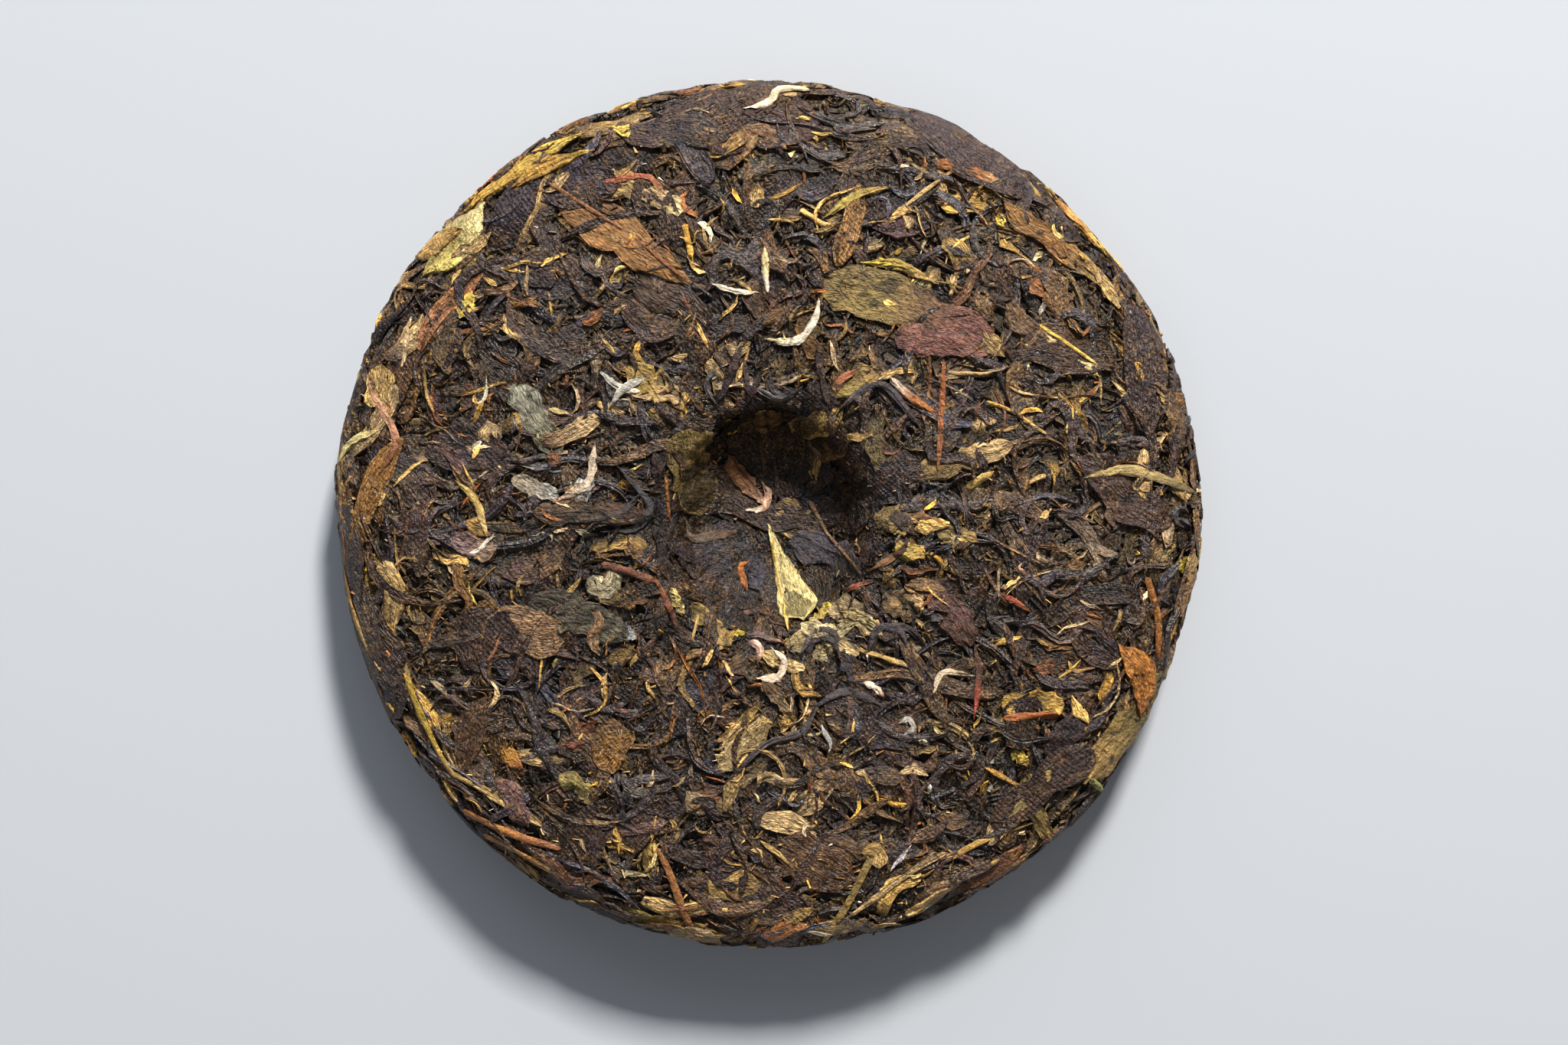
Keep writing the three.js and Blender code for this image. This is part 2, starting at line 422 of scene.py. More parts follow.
# %% [markdown]
# ## A pile of leaves
#
# In the bag the leaves fall at random and are then pressed flat into one another. A physics simulation of
# twenty thousand limp leaves would take hours. Instead, each leaf is dropped on the chart in turn: it reads
# how high the pile under it is, drapes over that, and the pile grows by its thickness. Leaves that end up
# buried are left out, and at last a press squeezes the whole pile towards one level.

# %% The pile on one side of the cake
CELL = 0.4  # mm between the cells that remember how high the pile is
MIDLINE = 25  # points along the middle of a leaf


def blend_weights(at, centres):
    """A matrix that reads values kept at the centres, at other places between them."""
    spot = np.clip(np.interp(at, centres, np.arange(len(centres))), 0, len(centres) - 1)
    weights = np.maximum(0, 1 - np.abs(spot[:, None] - np.arange(len(centres))[None, :]))
    return weights / weights.sum(1, keepdims=True)


def blur(grid, spread):
    """A grid smoothed over that many cells both ways."""
    window = bell(spread)
    pad = len(window) // 2
    for axis in (0, 1):
        padded = np.pad(grid, [(pad, pad) if a == axis else (0, 0) for a in (0, 1)], mode="edge")
        size = grid.shape[axis]
        grid = sum(w * np.take(padded, np.arange(n, n + size), axis) for n, w in enumerate(window))
    return grid


class Pile:
    """How high the leaves lie on one side, cell by cell, and which leaf is on top."""

    def __init__(self, side):
        self.side = side
        self.half = int(side.reach / CELL) + 40
        size = 2 * self.half + 1
        self.height = np.zeros(size * size, np.float32)
        self.owner = np.full(size * size, -1, np.int32)
        self.size = size

    def cells(self, x, y):
        """The number of the cell at each chart point."""
        i, j = [np.clip(np.rint(v / CELL).astype(np.int32) + self.half, 0, self.size - 1) for v in (x, y)]
        return j * self.size + i

    def sample(self, grid, x, y):
        """Reads a grid between its cells."""
        u, v = [np.clip(p / CELL + self.half, 0, self.size - 1.01) for p in (x, y)]
        i, j = u.astype(int), v.astype(int)
        f, g = u - i, v - j
        low = grid[j, i] * (1 - f) + grid[j, i + 1] * f
        high = grid[j + 1, i] * (1 - f) + grid[j + 1, i + 1] * f
        return low * (1 - g) + high * g


# %% A batch of leaves of one form
BASE_COLUMNS = 3  # heights that a leaf remembers across its width
DEPTH_SHADE = 1.4  # how much darker a leaf is painted, as shade, for each mm that it lies deeper
HIGHEST_SHARE = 0.4  # how much the highest spot under a leaf counts, against the mean, as it drapes


def ring_share(form, key, at):
    """The outline or the thickness of a form, read at places along it from 0 to 1."""
    return np.interp(at, np.linspace(0, 1, len(form[key])), form[key])


class Batch:
    """Leaves of one form with their own places, sizes and bends. All arrays have one entry a leaf."""

    def __init__(self, pile, form, rng, x, y, heading, length, half_width, thickness, bend=0.3, wave=0.3,
                 twist=0.0, ragged=0.18, notches=6, crumple=0.1, stiffness=1, paths=None):
        self.pile, self.form, self.rng = pile, form, rng
        self.count = len(x)
        self.length, self.half_width, self.thickness = length, half_width, thickness
        self.stiffness = stiffness
        n = self.count
        t = np.linspace(0, 1, MIDLINE)
        if paths is None:
            curve = rng.normal(0, 1, (n, 1)) * bend
            swing = rng.normal(0, 1, (n, 1)) * wave
            beat = rng.uniform(0.5, 1.3, (n, 1))
            start = rng.uniform(0, 1, (n, 1))
            aim = heading[:, None] + curve * (t - 0.5) + swing * np.sin(2 * np.pi * (beat * t + start))
            step = length[:, None] / (MIDLINE - 1)
            mx = np.cumsum(np.cos(aim), 1) * step
            my = np.cumsum(np.sin(aim), 1) * step
            mx -= mx[:, MIDLINE // 2, None]
            my -= my[:, MIDLINE // 2, None]
        else:
            mx, my = paths[:, :, 0] - x[:, None], paths[:, :, 1] - y[:, None]
            aim = np.unwrap(np.arctan2(np.gradient(my, axis=1), np.gradient(mx, axis=1)), axis=1)
        self.x, self.y, self.mx, self.my, self.aim = x, y, mx, my, aim
        # Steps round the axis are longer on the chart than on the cake. A path is already the chart's own.
        self.tight = pile.side.tightness(x, y) if paths is None else np.ones(n)
        # The edges waver. Most ends are torn off blunt, and some taper to a point.
        self.edges = np.clip(1 + rng.normal(0, ragged, (2, n, notches)), 0.3, 1.6)
        self.edges[:, :, -1] *= rng.uniform(0.15, 1.1, n)
        self.edges[:, :, 0] *= rng.uniform(0.4, 1.1, n)
        self.twist = rng.normal(0, 1, (n, 2)) * twist
        self.crumple = crumple
        # how much painted shade a leaf gets for its depth in the pile
        self.depth_shade = DEPTH_SHADE
        self.order = rng.uniform(0, 1, n)
        self.seed = rng.uniform(0, 1, n)

    def spots(self, along, width):
        """Chart points for places on the leaf: along from 0 to 1, and width as a share, both 1-D."""
        place = np.clip(along, 0, 1) * (MIDLINE - 1)
        k = np.minimum(place.astype(int), MIDLINE - 2)
        f = place - k
        middle = (self.mx, self.my, self.aim)
        mx, my, aim = [line[:, k] * (1 - f) + line[:, k + 1] * f for line in middle]
        over = (along - np.clip(along, 0, 1)) * self.length[:, None]
        knots = blend_weights(np.clip(along, 0, 1), np.linspace(0, 1, self.edges.shape[2]))
        sides = self.edges @ knots.T
        ragged = np.where(width[None, :] < 0, sides[0], sides[1])
        off = self.half_width[:, None] * width[None, :] * ragged
        px = mx + over * np.cos(aim) - off * np.sin(aim)
        py = my + over * np.sin(aim) + off * np.cos(aim)
        # The cake is tighter round its axis than the chart, so the leaf is stretched here to end up true.
        out = np.maximum(np.hypot(self.x, self.y), 1e-6)
        ox, oy = (self.x / out)[:, None], (self.y / out)[:, None]
        radial = px * ox + py * oy
        turning = (-px * oy + py * ox) / self.tight[:, None]
        return self.x[:, None] + radial * ox - turning * oy, self.y[:, None] + radial * oy + turning * ox

    def prepare(self, rows, columns, base_rows):
        """Works out the cells under each leaf, and how the mesh reads the heights that it drapes over. The
        three numbers are the leaf's lattice: cells along and across it, and heights kept along it."""
        form = self.form
        u = np.linspace(0.02, 0.98, rows)
        c = np.linspace(-0.94, 0.94, columns)
        share = ring_share(form, "outline", u)
        thick = ring_share(form, "thickness", u)
        uu, cc = np.repeat(u, columns), np.tile(c, rows)
        x, y = self.spots(uu, cc * np.repeat(share, columns))
        self.cell = self.pile.cells(x, y)
        hump = np.sqrt(1 - cc**2) if form["round"] else np.ones(len(cc))
        self.top = (hump * np.repeat(thick, columns)).astype(np.float32)
        self.rows, self.columns = rows, columns
        self.base_rows = base_rows
        centres_u = (np.arange(base_rows) + 0.5) / base_rows
        centres_c = (np.arange(BASE_COLUMNS) + 0.5) / BASE_COLUMNS * 2 - 1
        self.read_rows = blend_weights(u, centres_u).astype(np.float32)
        self.read_columns = blend_weights(c, centres_c).astype(np.float32)
        own_share = ring_share(form, "outline", form["along"])
        own_c = np.clip(form["width"] / np.maximum(own_share, 1e-6), -1, 1)
        along_w = blend_weights(np.clip(form["along"], 0, 1), centres_u)
        across_w = blend_weights(own_c, centres_c)
        both = along_w[:, :, None] * across_w[:, None, :]
        self.read_mesh = both.reshape(len(own_c), -1).astype(np.float32)
        self.under = np.zeros((self.count, len(own_c)), np.float32)
        window = bell(self.stiffness)
        middle = len(window) // 2
        stiff = np.zeros((base_rows, base_rows))
        for n, w in enumerate(window):
            for row in range(base_rows):
                stiff[row, min(max(row + n - middle, 0), base_rows - 1)] += w
        self.stiff = stiff.astype(np.float32)

    def drop(self, i, number):
        """Lays leaf i on the pile."""
        pile = self.pile
        cell = self.cell[i]
        under = pile.height[cell]
        a, b = self.base_rows, BASE_COLUMNS
        blocks = under.reshape(a, self.rows // a, b, self.columns // b)
        base = self.stiff @ ((1 - HIGHEST_SHARE) * blocks.mean((1, 3)) + HIGHEST_SHARE * blocks.max((1, 3)))
        self.under[i] = self.read_mesh @ base.ravel()
        top = (self.read_rows @ base @ self.read_columns.T).ravel() + self.top * self.thickness[i]
        shown = top > under
        pile.height[cell[shown]] = top[shown]
        pile.owner[cell[shown]] = number


# %% Laying the leaves in their order
SEEN_SHARE = 0.05  # the share of a leaf that has to be seen, or it is left out
LEVEL_SPREAD = 3.2  # mm over which the pile's middle level is blended


def settle(pile, batches, first=0):
    """Drops the leaves of all batches in their order, and keeps those that are still seen."""
    order = np.concatenate([b.order for b in batches])
    which = np.concatenate([np.full(b.count, n) for n, b in enumerate(batches)])
    index = np.concatenate([np.arange(b.count) for b in batches])
    for number in np.argsort(order, kind="stable"):
        batches[which[number]].drop(index[number], first + number)
    seen = np.bincount(pile.owner[pile.owner >= 0], minlength=first + len(order))
    for b in batches:
        mine = seen[first : first + b.count]
        b.kept = mine >= np.maximum(3, SEEN_SHARE * b.length * 2 * b.half_width / CELL**2)
        first += b.count
    grid = pile.height.reshape(pile.size, pile.size)
    pile.level = blur(grid, LEVEL_SPREAD / CELL)
    pile.shape = grid
    print(f"{len(order)} leaves dropped, {sum(int(b.kept.sum()) for b in batches)} of them seen")
    return first


# %% [markdown]
# ## Where the leaves lie and how they point
#
# On the back the leaves lie at random, in loose flocks that share a direction. Along the rim the edge of the
# bag turned them to run round the cake, and in the hollow the knot drew them towards the middle.


# %% Places, directions and sizes
def wavy(x, y, rng, length, octaves=3):
    """Smooth random values from about -1 to 1 over the chart, with lumps of that length in mm."""
    value = np.zeros_like(x)
    for n in range(octaves):
        turn = rng.uniform(0, 2 * np.pi, 6)
        phase = rng.uniform(0, 2 * np.pi, 6)
        scale = 2 * np.pi / (length / 1.7**n)
        for a, p in zip(turn, phase):
            value += np.sin(scale * (x * np.cos(a) + y * np.sin(a)) + p) / 6 / 1.3**n
    return value


def scatter(side, count, rng, inner=0.0, outer=None):
    """Chart places spread evenly over the real surface, between two distances from the pole."""
    outer = side.reach if outer is None else outer
    tries = int(count * 1.9) + 40
    out = np.sqrt(rng.uniform(inner**2, outer**2, tries))
    turn = rng.uniform(0, 2 * np.pi, tries)
    x, y = out * np.cos(turn), out * np.sin(turn)
    fair = rng.uniform(0, 1, tries) < side.tightness(x, y)
    return x[fair][:count], y[fair][:count]


RIM_START = 92.0  # mm along the skin of the back where the leaves start to run round the cake
HOLLOW_END = 37.0  # mm along the skin where the hollow's wall has turned into the back


def directions(side, x, y, rng):
    """Headings on the chart: flocks with some strays on the open back, round the cake along the rim, and
    towards the pole in the hollow and near it. On the face there are only flocks and strays."""
    out = np.hypot(x, y)
    outwards = np.arctan2(y, x)
    flock = 2.6 * wavy(x, y, np.random.default_rng(5), 34.0) + rng.normal(0, 0.5, len(x))
    free = np.where(rng.uniform(0, 1, len(x)) < 0.3, rng.uniform(0, 2 * np.pi, len(x)), flock)
    if side.facing < 0:
        return free
    round_ = outwards + np.pi / 2 + rng.normal(0, 0.22, len(x))
    inwards = outwards + rng.normal(0, 0.55, len(x))
    drawn = np.interp(out, [HOLLOW_END, HOLLOW_END + 34], [0.8, 0.0])
    free = np.where(rng.uniform(0, 1, len(x)) < drawn, inwards, free)
    heading = np.where(out > RIM_START + rng.normal(0, 3, len(x)), round_, free)
    return np.where(out < HOLLOW_END - 4 + rng.normal(0, 3, len(x)), inwards, heading)


def between(rng, count, low, high, lean=1.0):
    """Random sizes. A lean above 1 makes small ones more common."""
    return low + (high - low) * rng.uniform(0, 1, count) ** lean


# %% [markdown]
# ## Colours
#
# The leaves dried to charcoal, dark brown, tan, olive and gold, and a few downy buds are nearly white. A leaf
# has one of these colours, a shade lighter or darker than the next, and one end may turn to another.


# %% Colours of dry leaf
def linear(red, green, blue):
    """A colour as it looks, from 0 to 255, made into the amounts of light that Blender counts in."""
    value = np.array([red, green, blue]) / 255
    return np.where(value <= 0.04045, value / 12.92, ((value + 0.055) / 1.055) ** 2.4)


# As a colour looks, in red, green and blue.
PALETTE = {
    "charcoal": (50, 36, 37), "black_brown": (53, 33, 29), "slate": (64, 57, 62), "umber": (79, 53, 38),
    "brown": (130, 95, 58), "chestnut": (128, 76, 44), "rust": (170, 104, 52), "tan": (226, 186, 126),
    "olive": (180, 144, 82), "gold": (248, 196, 98), "yellow": (236, 202, 86), "straw": (236, 212, 150),
    "cream": (246, 228, 200), "rose": (172, 130, 104), "rosewood": (98, 62, 54), "silver": (180, 174, 162),
}
# How common each colour is in a mix. The last blank lets two mixes be joined.
DARK_MIX = "charcoal 34 black_brown 26 umber 18 slate 6 rosewood 6 brown 10 "
BROWN_MIX = "umber 28 brown 26 black_brown 12 rosewood 6 chestnut 6 olive 14 tan 8 "
TAN_MIX = "tan 24 olive 32 brown 20 gold 13 straw 5 rust 3 rose 3 silver 2 "
STEM_MIX = "chestnut 26 rust 12 umber 30 gold 8 olive 12 tan 12 "
BUD_MIX = "cream 38 rose 17 silver 25 straw 20 "
CRUMB_MIX = "black_brown 34 umber 24 brown 16 olive 8 tan 9 rust 3 gold 4 cream 2 "
print(f"{len(PALETTE)} colours of dry leaf")


def colour_of(word):
    """A colour by its name, or by its red, green and blue, as in 168,118,64."""
    return linear(*PALETTE.get(word) or [int(part) for part in word.split(",")])


def zone_tint(x, y):
    """Some regions of the cake are darker, and some more golden, than others. The rim is darker too."""
    light = 0.22 * wavy(x, y, np.random.default_rng(13), 60.0, octaves=2)
    gold = 0.25 * wavy(x, y, np.random.default_rng(14), 48.0, octaves=2)
    edge = np.clip((np.hypot(x, y) - 97) / 11, 0, 1)[:, None] * np.array([0.2, 0.23, 0.3])
    return np.exp(np.stack([light + 0.5 * gold, light + 0.3 * gold, light - gold], -1)) * (1 - edge)


def paint(batch, mix, spread=0.16):
    """Gives each leaf of a batch a colour out of a mix, and its end another."""
    rng = batch.rng
    words = mix.split()
    colours = np.array([colour_of(word) for word in words[::2]])
    weights = np.array(words[1::2], float)
    first = rng.choice(len(colours), batch.count, p=weights / weights.sum())
    second = rng.choice(len(colours), batch.count, p=weights / weights.sum())
    warmth = np.exp(np.clip(rng.normal(0, 0.26, (batch.count, 1)), -0.24, 0.6) * np.array([0.3, 0.05, -1.0]))
    shade = np.exp(rng.normal(0, spread, (batch.count, 1))) * zone_tint(batch.x, batch.y) * warmth
    batch.colour = colours[first] * shade
    share = rng.uniform(0, 1, (batch.count, 1)) ** 2
    batch.tip_colour = colours[first] * shade * (1 - share) + colours[second] * shade * share
    return batch


# %% Random leaves for one side
def strewn(pile, rng, form, zones, length, half_width, thickness, lattice, mix, spread=0.16, grown=1.0,
           order=None, aim=None, **shape):
    """A batch of one form. zones lists how many leaves lie between which distances from the pole. Sizes are
    ranges in mm, and may end with a lean. order is the range of their place in the pile. aim is the turn
    away from the pole, and its spread, for leaves that don't lie as the rest there."""
    x, y = np.concatenate([scatter(pile.side, *zone[:1], rng, *zone[1:]) for zone in zones], axis=1)
    n = len(x)
    if aim is None:
        heading = directions(pile.side, x, y, rng)
    else:
        heading = np.arctan2(y, x) + aim[0] + rng.normal(0, aim[1], n)
    # The leaves of the face are larger and fewer, and those of the rim are the least broken.
    grow = grown if pile.side.facing < 0 else np.where(np.hypot(x, y) > RIM_START - 4, grown, 1.0)
    batch = Batch(pile, form, rng, x, y, heading, between(rng, n, *length) * grow,
                  between(rng, n, *half_width) * grow, between(rng, n, *thickness), **shape)
    if order:
        batch.order = rng.uniform(*order, n)
    batch.prepare(*lattice)
    return paint(batch, mix, spread)


# Form, count, ranges of length, half width and thickness in mm, lattice, mix, and shape.
KINDS = {
    "flat_leaves_dark": (blade, 1500, (9, 26), (2.0, 6.2), (0.35, 0.65), (35, 18, 7), DARK_MIX,
                         dict(bend=0.7, wave=0.3, ragged=0.24, crumple=0.2)),
    "flat_leaves_tan": (blade, 420, (5, 16), (1.2, 3.6), (0.3, 0.55), (35, 18, 7), TAN_MIX,
                        dict(bend=0.7, wave=0.3, ragged=0.28, crumple=0.2)),
    "torn_leaves_dark": (shard, 3300, (3, 10), (0.5, 2.3), (0.3, 0.6), (20, 9, 5), DARK_MIX + BROWN_MIX,
                         dict(bend=0.6, ragged=0.3, crumple=0.22)),
    "torn_leaves_tan": (shard, 1100, (2, 7.5), (0.5, 1.8), (0.3, 0.55), (20, 9, 5), TAN_MIX + BROWN_MIX,
                        dict(bend=0.6, ragged=0.34, crumple=0.22)),
    "rolled_leaves_dark": (rolled, 1500, (8, 27), (0.65, 1.6), (0.9, 1.7), (60, 6, 12), DARK_MIX,
                           dict(bend=1.3, wave=0.6, twist=0.8, ragged=0.15)),
    "rolled_leaves_brown": (rolled, 900, (6, 22), (0.5, 1.2), (0.8, 1.5), (60, 6, 12), BROWN_MIX,
                            dict(bend=1.2, wave=0.6, twist=0.8, ragged=0.15)),
    "folded_leaves": (folded, 2000, (8, 25), (1.2, 3.1), (0.6, 1.2), (48, 9, 8), DARK_MIX + BROWN_MIX,
                      dict(bend=0.9, wave=0.5, ragged=0.2, crumple=0.15)),
    "stems": (stem, 300, (5, 15), (0.3, 0.7), (0.6, 1.0), (40, 3, 5), STEM_MIX,
              dict(bend=0.3, wave=0.15, ragged=0.1, crumple=0.04, stiffness=2)),
    "buds": (bud, 50, (2.5, 7), (0.4, 0.8), (0.6, 0.9), (32, 6, 8), BUD_MIX,
             dict(bend=1.8, wave=0.4, ragged=0.1, crumple=0.05)),
    "crumbs": (crumb, 5600, (0.8, 2.4), (0.25, 0.7), (0.25, 0.55), (9, 3, 3), CRUMB_MIX,
               dict(ragged=0.3, crumple=0.16, spread=0.35)),
}
print(f"{len(KINDS)} kinds of random leaf")

LEAN = 1.3  # above 1, so that small leaves are more common than large ones
FACE_GROWTH = 1.3  # how much larger the leaves of the face are
RIM_GROWTH = 1.35  # and those of the rim
LARGE_LATEST = 0.86  # when the last of the large leaves is laid, with 1 as the end of the pile
SMALL_LATEST = 0.62  # and the last of the small bits
ON_TOP = 0.03  # the share of leaves that are laid near the end all the same


# %% All the random leaves of a side, and when each is laid
def strew_all(pile, rng, share):
    """All the kinds of random leaf for one side. share scales how many there are."""
    kinds = {}
    for name, (form, count, length, half_width, thickness, lattice, mix, shape) in KINDS.items():
        grown = FACE_GROWTH if pile.side.facing < 0 else RIM_GROWTH
        kinds[name] = strewn(pile, rng, form, [(int(count * share),)], (*length, LEAN), (*half_width, LEAN),
                             thickness, lattice, mix, grown=grown, **shape)
    # Small bits sift down between the leaves, so most of them are laid early. A few stay on top.
    for name, batch in kinds.items():
        small = name.startswith("torn") or name == "crumbs"
        on_top = rng.uniform(0, 1, batch.count) < ON_TOP
        latest = SMALL_LATEST if small else LARGE_LATEST
        batch.order = np.where(on_top, 0.94 + 0.03 * batch.order, batch.order * latest)
    for name in ("stems", "buds"):
        kinds[name].order = 0.5 + 0.5 * kinds[name].order
    if pile.side.facing > 0:
        # Leaves of the hollow are laid early, below those that its knot pressed smooth, and the light ones
        # earliest of all, so that hardly any is seen.
        for name, batch in kinds.items():
            inside = np.hypot(batch.x, batch.y) < HOLLOW_END - 5
            sooner = 0.6 * 0.4 if name.endswith("leaves_tan") else 0.6
            batch.order = np.where(inside, batch.order * sooner, batch.order)
    return kinds


# %% [markdown]
# ### Leaves that are laid late
#
# A leaf that is laid early may be buried. Six kinds of leaf have to be seen, because they give the cake its
# look: these get a late place in the pile, where hardly anything covers them.

# %% Leaves that are laid late, so that they stay on top
LATE_KINDS = [
    # Broad leaves that the knot of the bag pressed smooth against the floor and the walls of the hollow.
    ("flat_leaves_dark", dict(
        form=blade, zones=[(170, 0.0, HOLLOW_END - 6)], length=(9, 22), half_width=(2.0, 5.4),
        thickness=(0.3, 0.5), order=(0.66, 0.92), lattice=(35, 18, 7), aim=(0.0, 0.35), bend=0.5, wave=0.2,
        ragged=0.25, crumple=0.14, mix="charcoal 30 black_brown 24 slate 18 umber 18 olive 5 brown 5",
        spread=0.3)),
    # Ragged tan and olive leaves, flush with the dark ones, thickest round the mouth of the hollow.
    ("ragged_patches", dict(
        form=blade, zones=[(200, HOLLOW_END - 2, 118), (70, HOLLOW_END - 2, HOLLOW_END + 16)],
        length=(4, 14, 1.3), half_width=(0.8, 2.3, 1.4), thickness=(0.3, 0.55), order=(0.7, 0.89),
        lattice=(35, 18, 7), bend=0.6, wave=0.3, ragged=0.3, notches=12, crumple=0.2,
        mix="olive 30 tan 18 brown 30 gold 10 rosewood 8 silver 4", spread=0.28)),
    # Narrow bits of golden and tan leaf, the edges and tips of larger ones, that catch the light.
    ("torn_leaves_tan", dict(
        form=shard, zones=[(520, HOLLOW_END - 2, 122)], length=(2.5, 9, 1.4), half_width=(0.25, 0.7),
        thickness=(0.4, 0.8), order=(0.75, 0.99), lattice=(20, 3, 5), bend=0.9, ragged=0.3, crumple=0.12,
        mix="gold 26 tan 32 olive 20 yellow 3 straw 8 rust 8 cream 3", spread=0.25)),
    # Whole leaves that lie round the rim, where the bag didn't break them.
    ("folded_leaves", dict(
        form=folded, zones=[(150, RIM_START, 120)], length=(10, 24), half_width=(1.0, 2.4),
        thickness=(0.6, 1.1), order=(0.8, 0.96), lattice=(48, 9, 8), aim=(np.pi / 2, 0.25), bend=0.5,
        wave=0.4, ragged=0.22, crumple=0.15, mix="olive 24 gold 8 tan 9 rust 8 brown 25 charcoal 26",
        spread=0.25)),
    # Long dark leaves, twisted and curled.
    ("twisted_strands", dict(
        form=twisted, zones=[(520, HOLLOW_END - 4, 120)], length=(9, 29, 1.2), half_width=(0.55, 1.4),
        thickness=(0.9, 1.6), order=(0.7, 0.95), lattice=(66, 6, 11), bend=1.6, wave=0.8, twist=0.6,
        ragged=0.14, notches=10, crumple=0.09, mix="charcoal 36 black_brown 22 slate 24 umber 18",
        spread=0.2)),
    # Thin fibres and split stalks.
    ("rolled_leaves_brown", dict(
        form=rolled, zones=[(460, HOLLOW_END - 2, 121)], length=(5, 17, 1.2), half_width=(0.2, 0.48),
        thickness=(0.5, 0.9), order=(0.8, 0.99), lattice=(60, 3, 12), bend=1.0, wave=0.5, twist=0.5,
        ragged=0.12, crumple=0.05, spread=0.2,
        mix="charcoal 26 umber 18 brown 14 chestnut 14 slate 10 olive 10 rust 4 tan 4")),
]
print(f"{len(LATE_KINDS)} kinds of leaf that are laid late")


# %% Grit in the gaps
def gap_grit(pile, rng, count):
    """Grit that trickled into the lowest places between the leaves."""
    x, y = scatter(pile.side, count * 6, rng, 0, 122)
    depth = pile.sample(pile.level - pile.shape, x, y)
    lowest = np.argsort(-(depth + rng.normal(0, 0.12, len(x))))[:count]
    x, y = x[lowest], y[lowest]
    batch = Batch(
        pile, grit, rng, x, y, rng.uniform(0, 2 * np.pi, count), between(rng, count, 0.7, 2.0, 1.6),
        between(rng, count, 0.25, 0.62, 1.6), between(rng, count, 0.3, 0.6),
        ragged=0.25, notches=2, crumple=0.12
    )
    batch.prepare(6, 3, 2)
    return paint(batch, CRUMB_MIX, 0.35)


# %% [markdown]
# ### The leaves that one remembers
#
# Some leaves of this cake stand out: the broad ones, the pale buds, the yellow stalks. They are laid one by
# one, late in the pile. Each follows a path that is given in plan, from above, in mm from the axis.


# %% Leaves that are laid one by one
def smooth_path(points):
    """A smooth line of MIDLINE points through a few given ones."""
    p = np.array(points, float)
    p = np.concatenate([[2 * p[0] - p[1]], p, [2 * p[-1] - p[-2]]])
    line = []
    for a, b, c, d in zip(p[:-3], p[1:-2], p[2:-1], p[3:]):
        t = np.linspace(0, 1, 24)[:, None]
        line.append(0.5 * (2 * b + (c - a) * t + (2 * a - 5 * b + 4 * c - d) * t**2
                           + (3 * b - a - 3 * c + d) * t**3))
    line = np.concatenate(line)
    way = np.concatenate([[0], np.cumsum(np.hypot(*np.diff(line, axis=0).T))])
    at = np.linspace(0, way[-1], MIDLINE)
    return np.stack([np.interp(at, way, line[:, 0]), np.interp(at, way, line[:, 1])], -1), way[-1]


def rows_of(text):
    """Leaves from lines of text: half width, thickness, colour, colour of the end, and the path's points."""
    rows = []
    for line in text.strip().splitlines():
        half_width, thickness, first, second, *path = line.split()
        points = [[float(part) for part in point.split(",")] for point in path]
        rows.append((float(half_width), float(thickness), colour_of(first), colour_of(second), points))
    print(f"{len(rows)} leaves to lay by hand")
    return rows


def laid(pile, form, rng, rows, lattice, late, **shape):
    """A batch of leaves laid along their paths. A late one, up to 1, lies on top."""
    drawn = [smooth_path([pile.side.chart_of(*point) for point in row[4]]) for row in rows]
    paths = np.array([line for line, _ in drawn])
    middle = paths[:, MIDLINE // 2]
    batch = Batch(
        pile, form, rng, middle[:, 0], middle[:, 1], np.zeros(len(rows)), np.array([way for _, way in drawn]),
        np.array([row[0] for row in rows]), np.array([row[1] for row in rows]), paths=paths, **shape
    )
    batch.colour = np.array([row[2] for row in rows])
    batch.tip_colour = np.array([row[3] for row in rows])
    batch.order = late + 0.01 * np.arange(len(rows)) / len(rows)
    # These leaves get less of the painted shade of depth.
    batch.depth_shade = 0.6
    batch.prepare(*lattice)
    return batch


# %% Broad leaves, whole
leaf_rows = rows_of("""
6 0.6 168,118,64 186,134,72 -50.6,74.5 -36,64.5 -17.4,52.1
1.8 0.7 yellow olive -35.6,88 -24,84.6
1.2 0.8 yellow olive 21.3,56.8 30,56 38.3,52
1.8 0.9 yellow yellow -69.5,44.5 -66.8,50.5
1.3 0.9 yellow yellow 51.8,68.2 53.4,65
3.8 0.6 tan straw 62.6,41 74.5,31.5
1.9 0.8 200,140,52 rust -60.5,-52.5 -55.5,-57.5
1.9 0.8 112,56,36 chestnut -45.5,-52.5 -38.5,-46.5
3.6 1 190,122,52 rust 79.5,-29.5 85,-36 85,-46
2.7 0.7 104,66,44 umber 73.5,-51.5 62,-64
2.4 0.6 132,114,56 olive 56,-65 64,-57.8
2.2 0.8 132,112,62 olive 54.6,-68.4 59.3,-66.3 64.9,-76.2
1.6 0.9 192,168,52 olive 92.5,-12 98.4,-10.5
1.9 1.1 150,96,60 rose -8.8,13.5 -5.5,8 -0.4,1.9
""")
